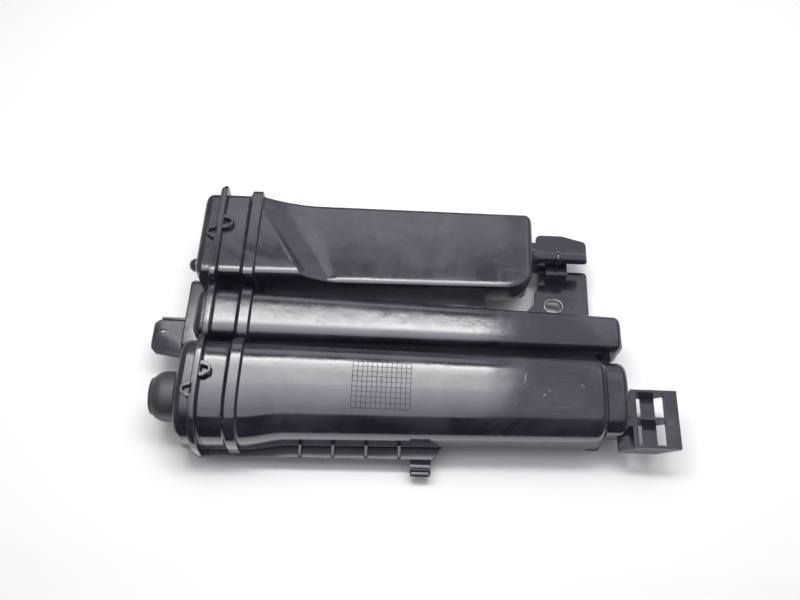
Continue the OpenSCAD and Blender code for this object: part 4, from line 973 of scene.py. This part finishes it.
def soft_box(name, x, y, height, radiance, mirrored, tint=(1, 1, 1)):
    """A level light panel over the spans x and y, seen only in reflections or only as light on surfaces."""
    width, depth = x[1] - x[0], y[1] - y[0]
    lamp = bpy.data.lights.new(name, "AREA")
    lamp.shape, lamp.size, lamp.size_y, lamp.energy = "RECTANGLE", width, depth, radiance * math.pi * width * depth
    lamp.color = tint
    obj = bpy.data.objects.new(name, lamp)
    obj.location = ((x[0] + x[1]) / 2, (y[0] + y[1]) / 2, height)
    obj.visible_camera, obj.visible_glossy, obj.visible_diffuse = False, mirrored, not mirrored
    bpy.context.scene.collection.objects.link(obj)
    return obj


floor_points = [(x * FLOOR_HALF, y * FLOOR_HALF, 0) for x, y in ((-1, -1), (1, -1), (1, 1), (-1, 1))]
studio_sheet("floor", floor_points, (0.9, 0.91, 0.87, 1), 0.6)
soft_box("key", (-0.32, 0.28), (0.07, 0.18), 0.75, 15.5, False)
soft_box("fill", (-0.6, 0.7), (-0.2, 0.7), 0.9, 1.1, False)
strips = [(0.27, 0.312, 24.0), (0.23, 0.27, 13.0), (0.19, 0.23, 8.0), (0.15, 0.19, 6.3), (0.10, 0.15, 5.4),
          (0.03, 0.10, 5.2), (-0.06, 0.03, 4.6), (-0.17, -0.06, 3.9), (-0.32, -0.17, 3.3), (-0.7, -0.32, 2.6),
          (0.312, 0.43, 0.1), (0.43, 0.80, 2.15)]
for i, (y0, y1, radiance) in enumerate(strips):
    tint = (1, 1, 0.98) if i < 3 else (0.96, 0.98, 1.05)
    soft_box("panel_%d" % i, PANEL_X, (y0, y1), PANEL_Z, radiance, True, tint)
for name, x, y, radiance in (("wall", (PANEL_X[1], 0.3), (-0.6, 0.62), 0.95),
                             ("wall_near", (0.3, 0.9), (-0.6, 0.3), 0.95), ("wall_far", (0.3, 0.9), (0.3, 0.62), 1.6),
                             ("wall_back", (PANEL_X[1], 1.4), (0.62, 2.2), 0.9)):
    soft_box(name, x, y, PANEL_Z, radiance, True, (0.95, 0.95, 1.1))
bounce = soft_box("bounce", (-0.2, 0.24), (-0.14, -0.1), 0.002, 1.25, True)
bounce.rotation_euler = (math.pi, 0, 0)
card = studio_sheet("dark_card", [(-CARD_HALF, CARD_Y, CARD_Z0), (CARD_HALF, CARD_Y, CARD_Z0),
                                  (CARD_HALF, CARD_Y, CARD_Z1), (-CARD_HALF, CARD_Y, CARD_Z1)],
                    (0.02, 0.02, 0.02, 1), 0.9)
card.visible_camera = card.visible_diffuse = card.visible_shadow = card.visible_transmission = False
world = bpy.data.worlds.new("studio")
world.use_nodes = True
tree = world.node_tree
way = node(tree, "ShaderNodeSeparateXYZ", {0: node(tree, "ShaderNodeTexCoord").outputs["Generated"]})
feed(tree, tree.nodes["Background"], {"Color": (0.96, 0.95, 1.08, 1),
                                      "Strength": graded(tree, way.outputs["Y"], -0.85, -0.3, 0.08, 0.5)})
bpy.context.scene.world = world
view = bpy.context.scene.view_settings
view.view_transform, view.use_curve_mapping = "Standard", True
view.curve_mapping.black_level = (-0.0035, -0.0035, -0.0055)
view.curve_mapping.update()

camera_data = bpy.data.cameras.new("camera")
camera_data.lens, camera_data.sensor_width, camera_data.sensor_fit = 39.6, 36.0, "HORIZONTAL"
camera = bpy.data.objects.new("camera", camera_data)
right, up = Vector((0.99912, 0.04188, 0)), Vector((-0.03698, 0.88217, 0.46947))
ahead = Vector((-0.01966, 0.46906, -0.88295))
turn = Matrix((right, up, -ahead)).transposed().to_4x4()
camera.matrix_world = Matrix.Translation((0.0039, -0.27467, 0.5933)) @ turn
bpy.context.scene.collection.objects.link(camera)
bpy.context.scene.camera = camera
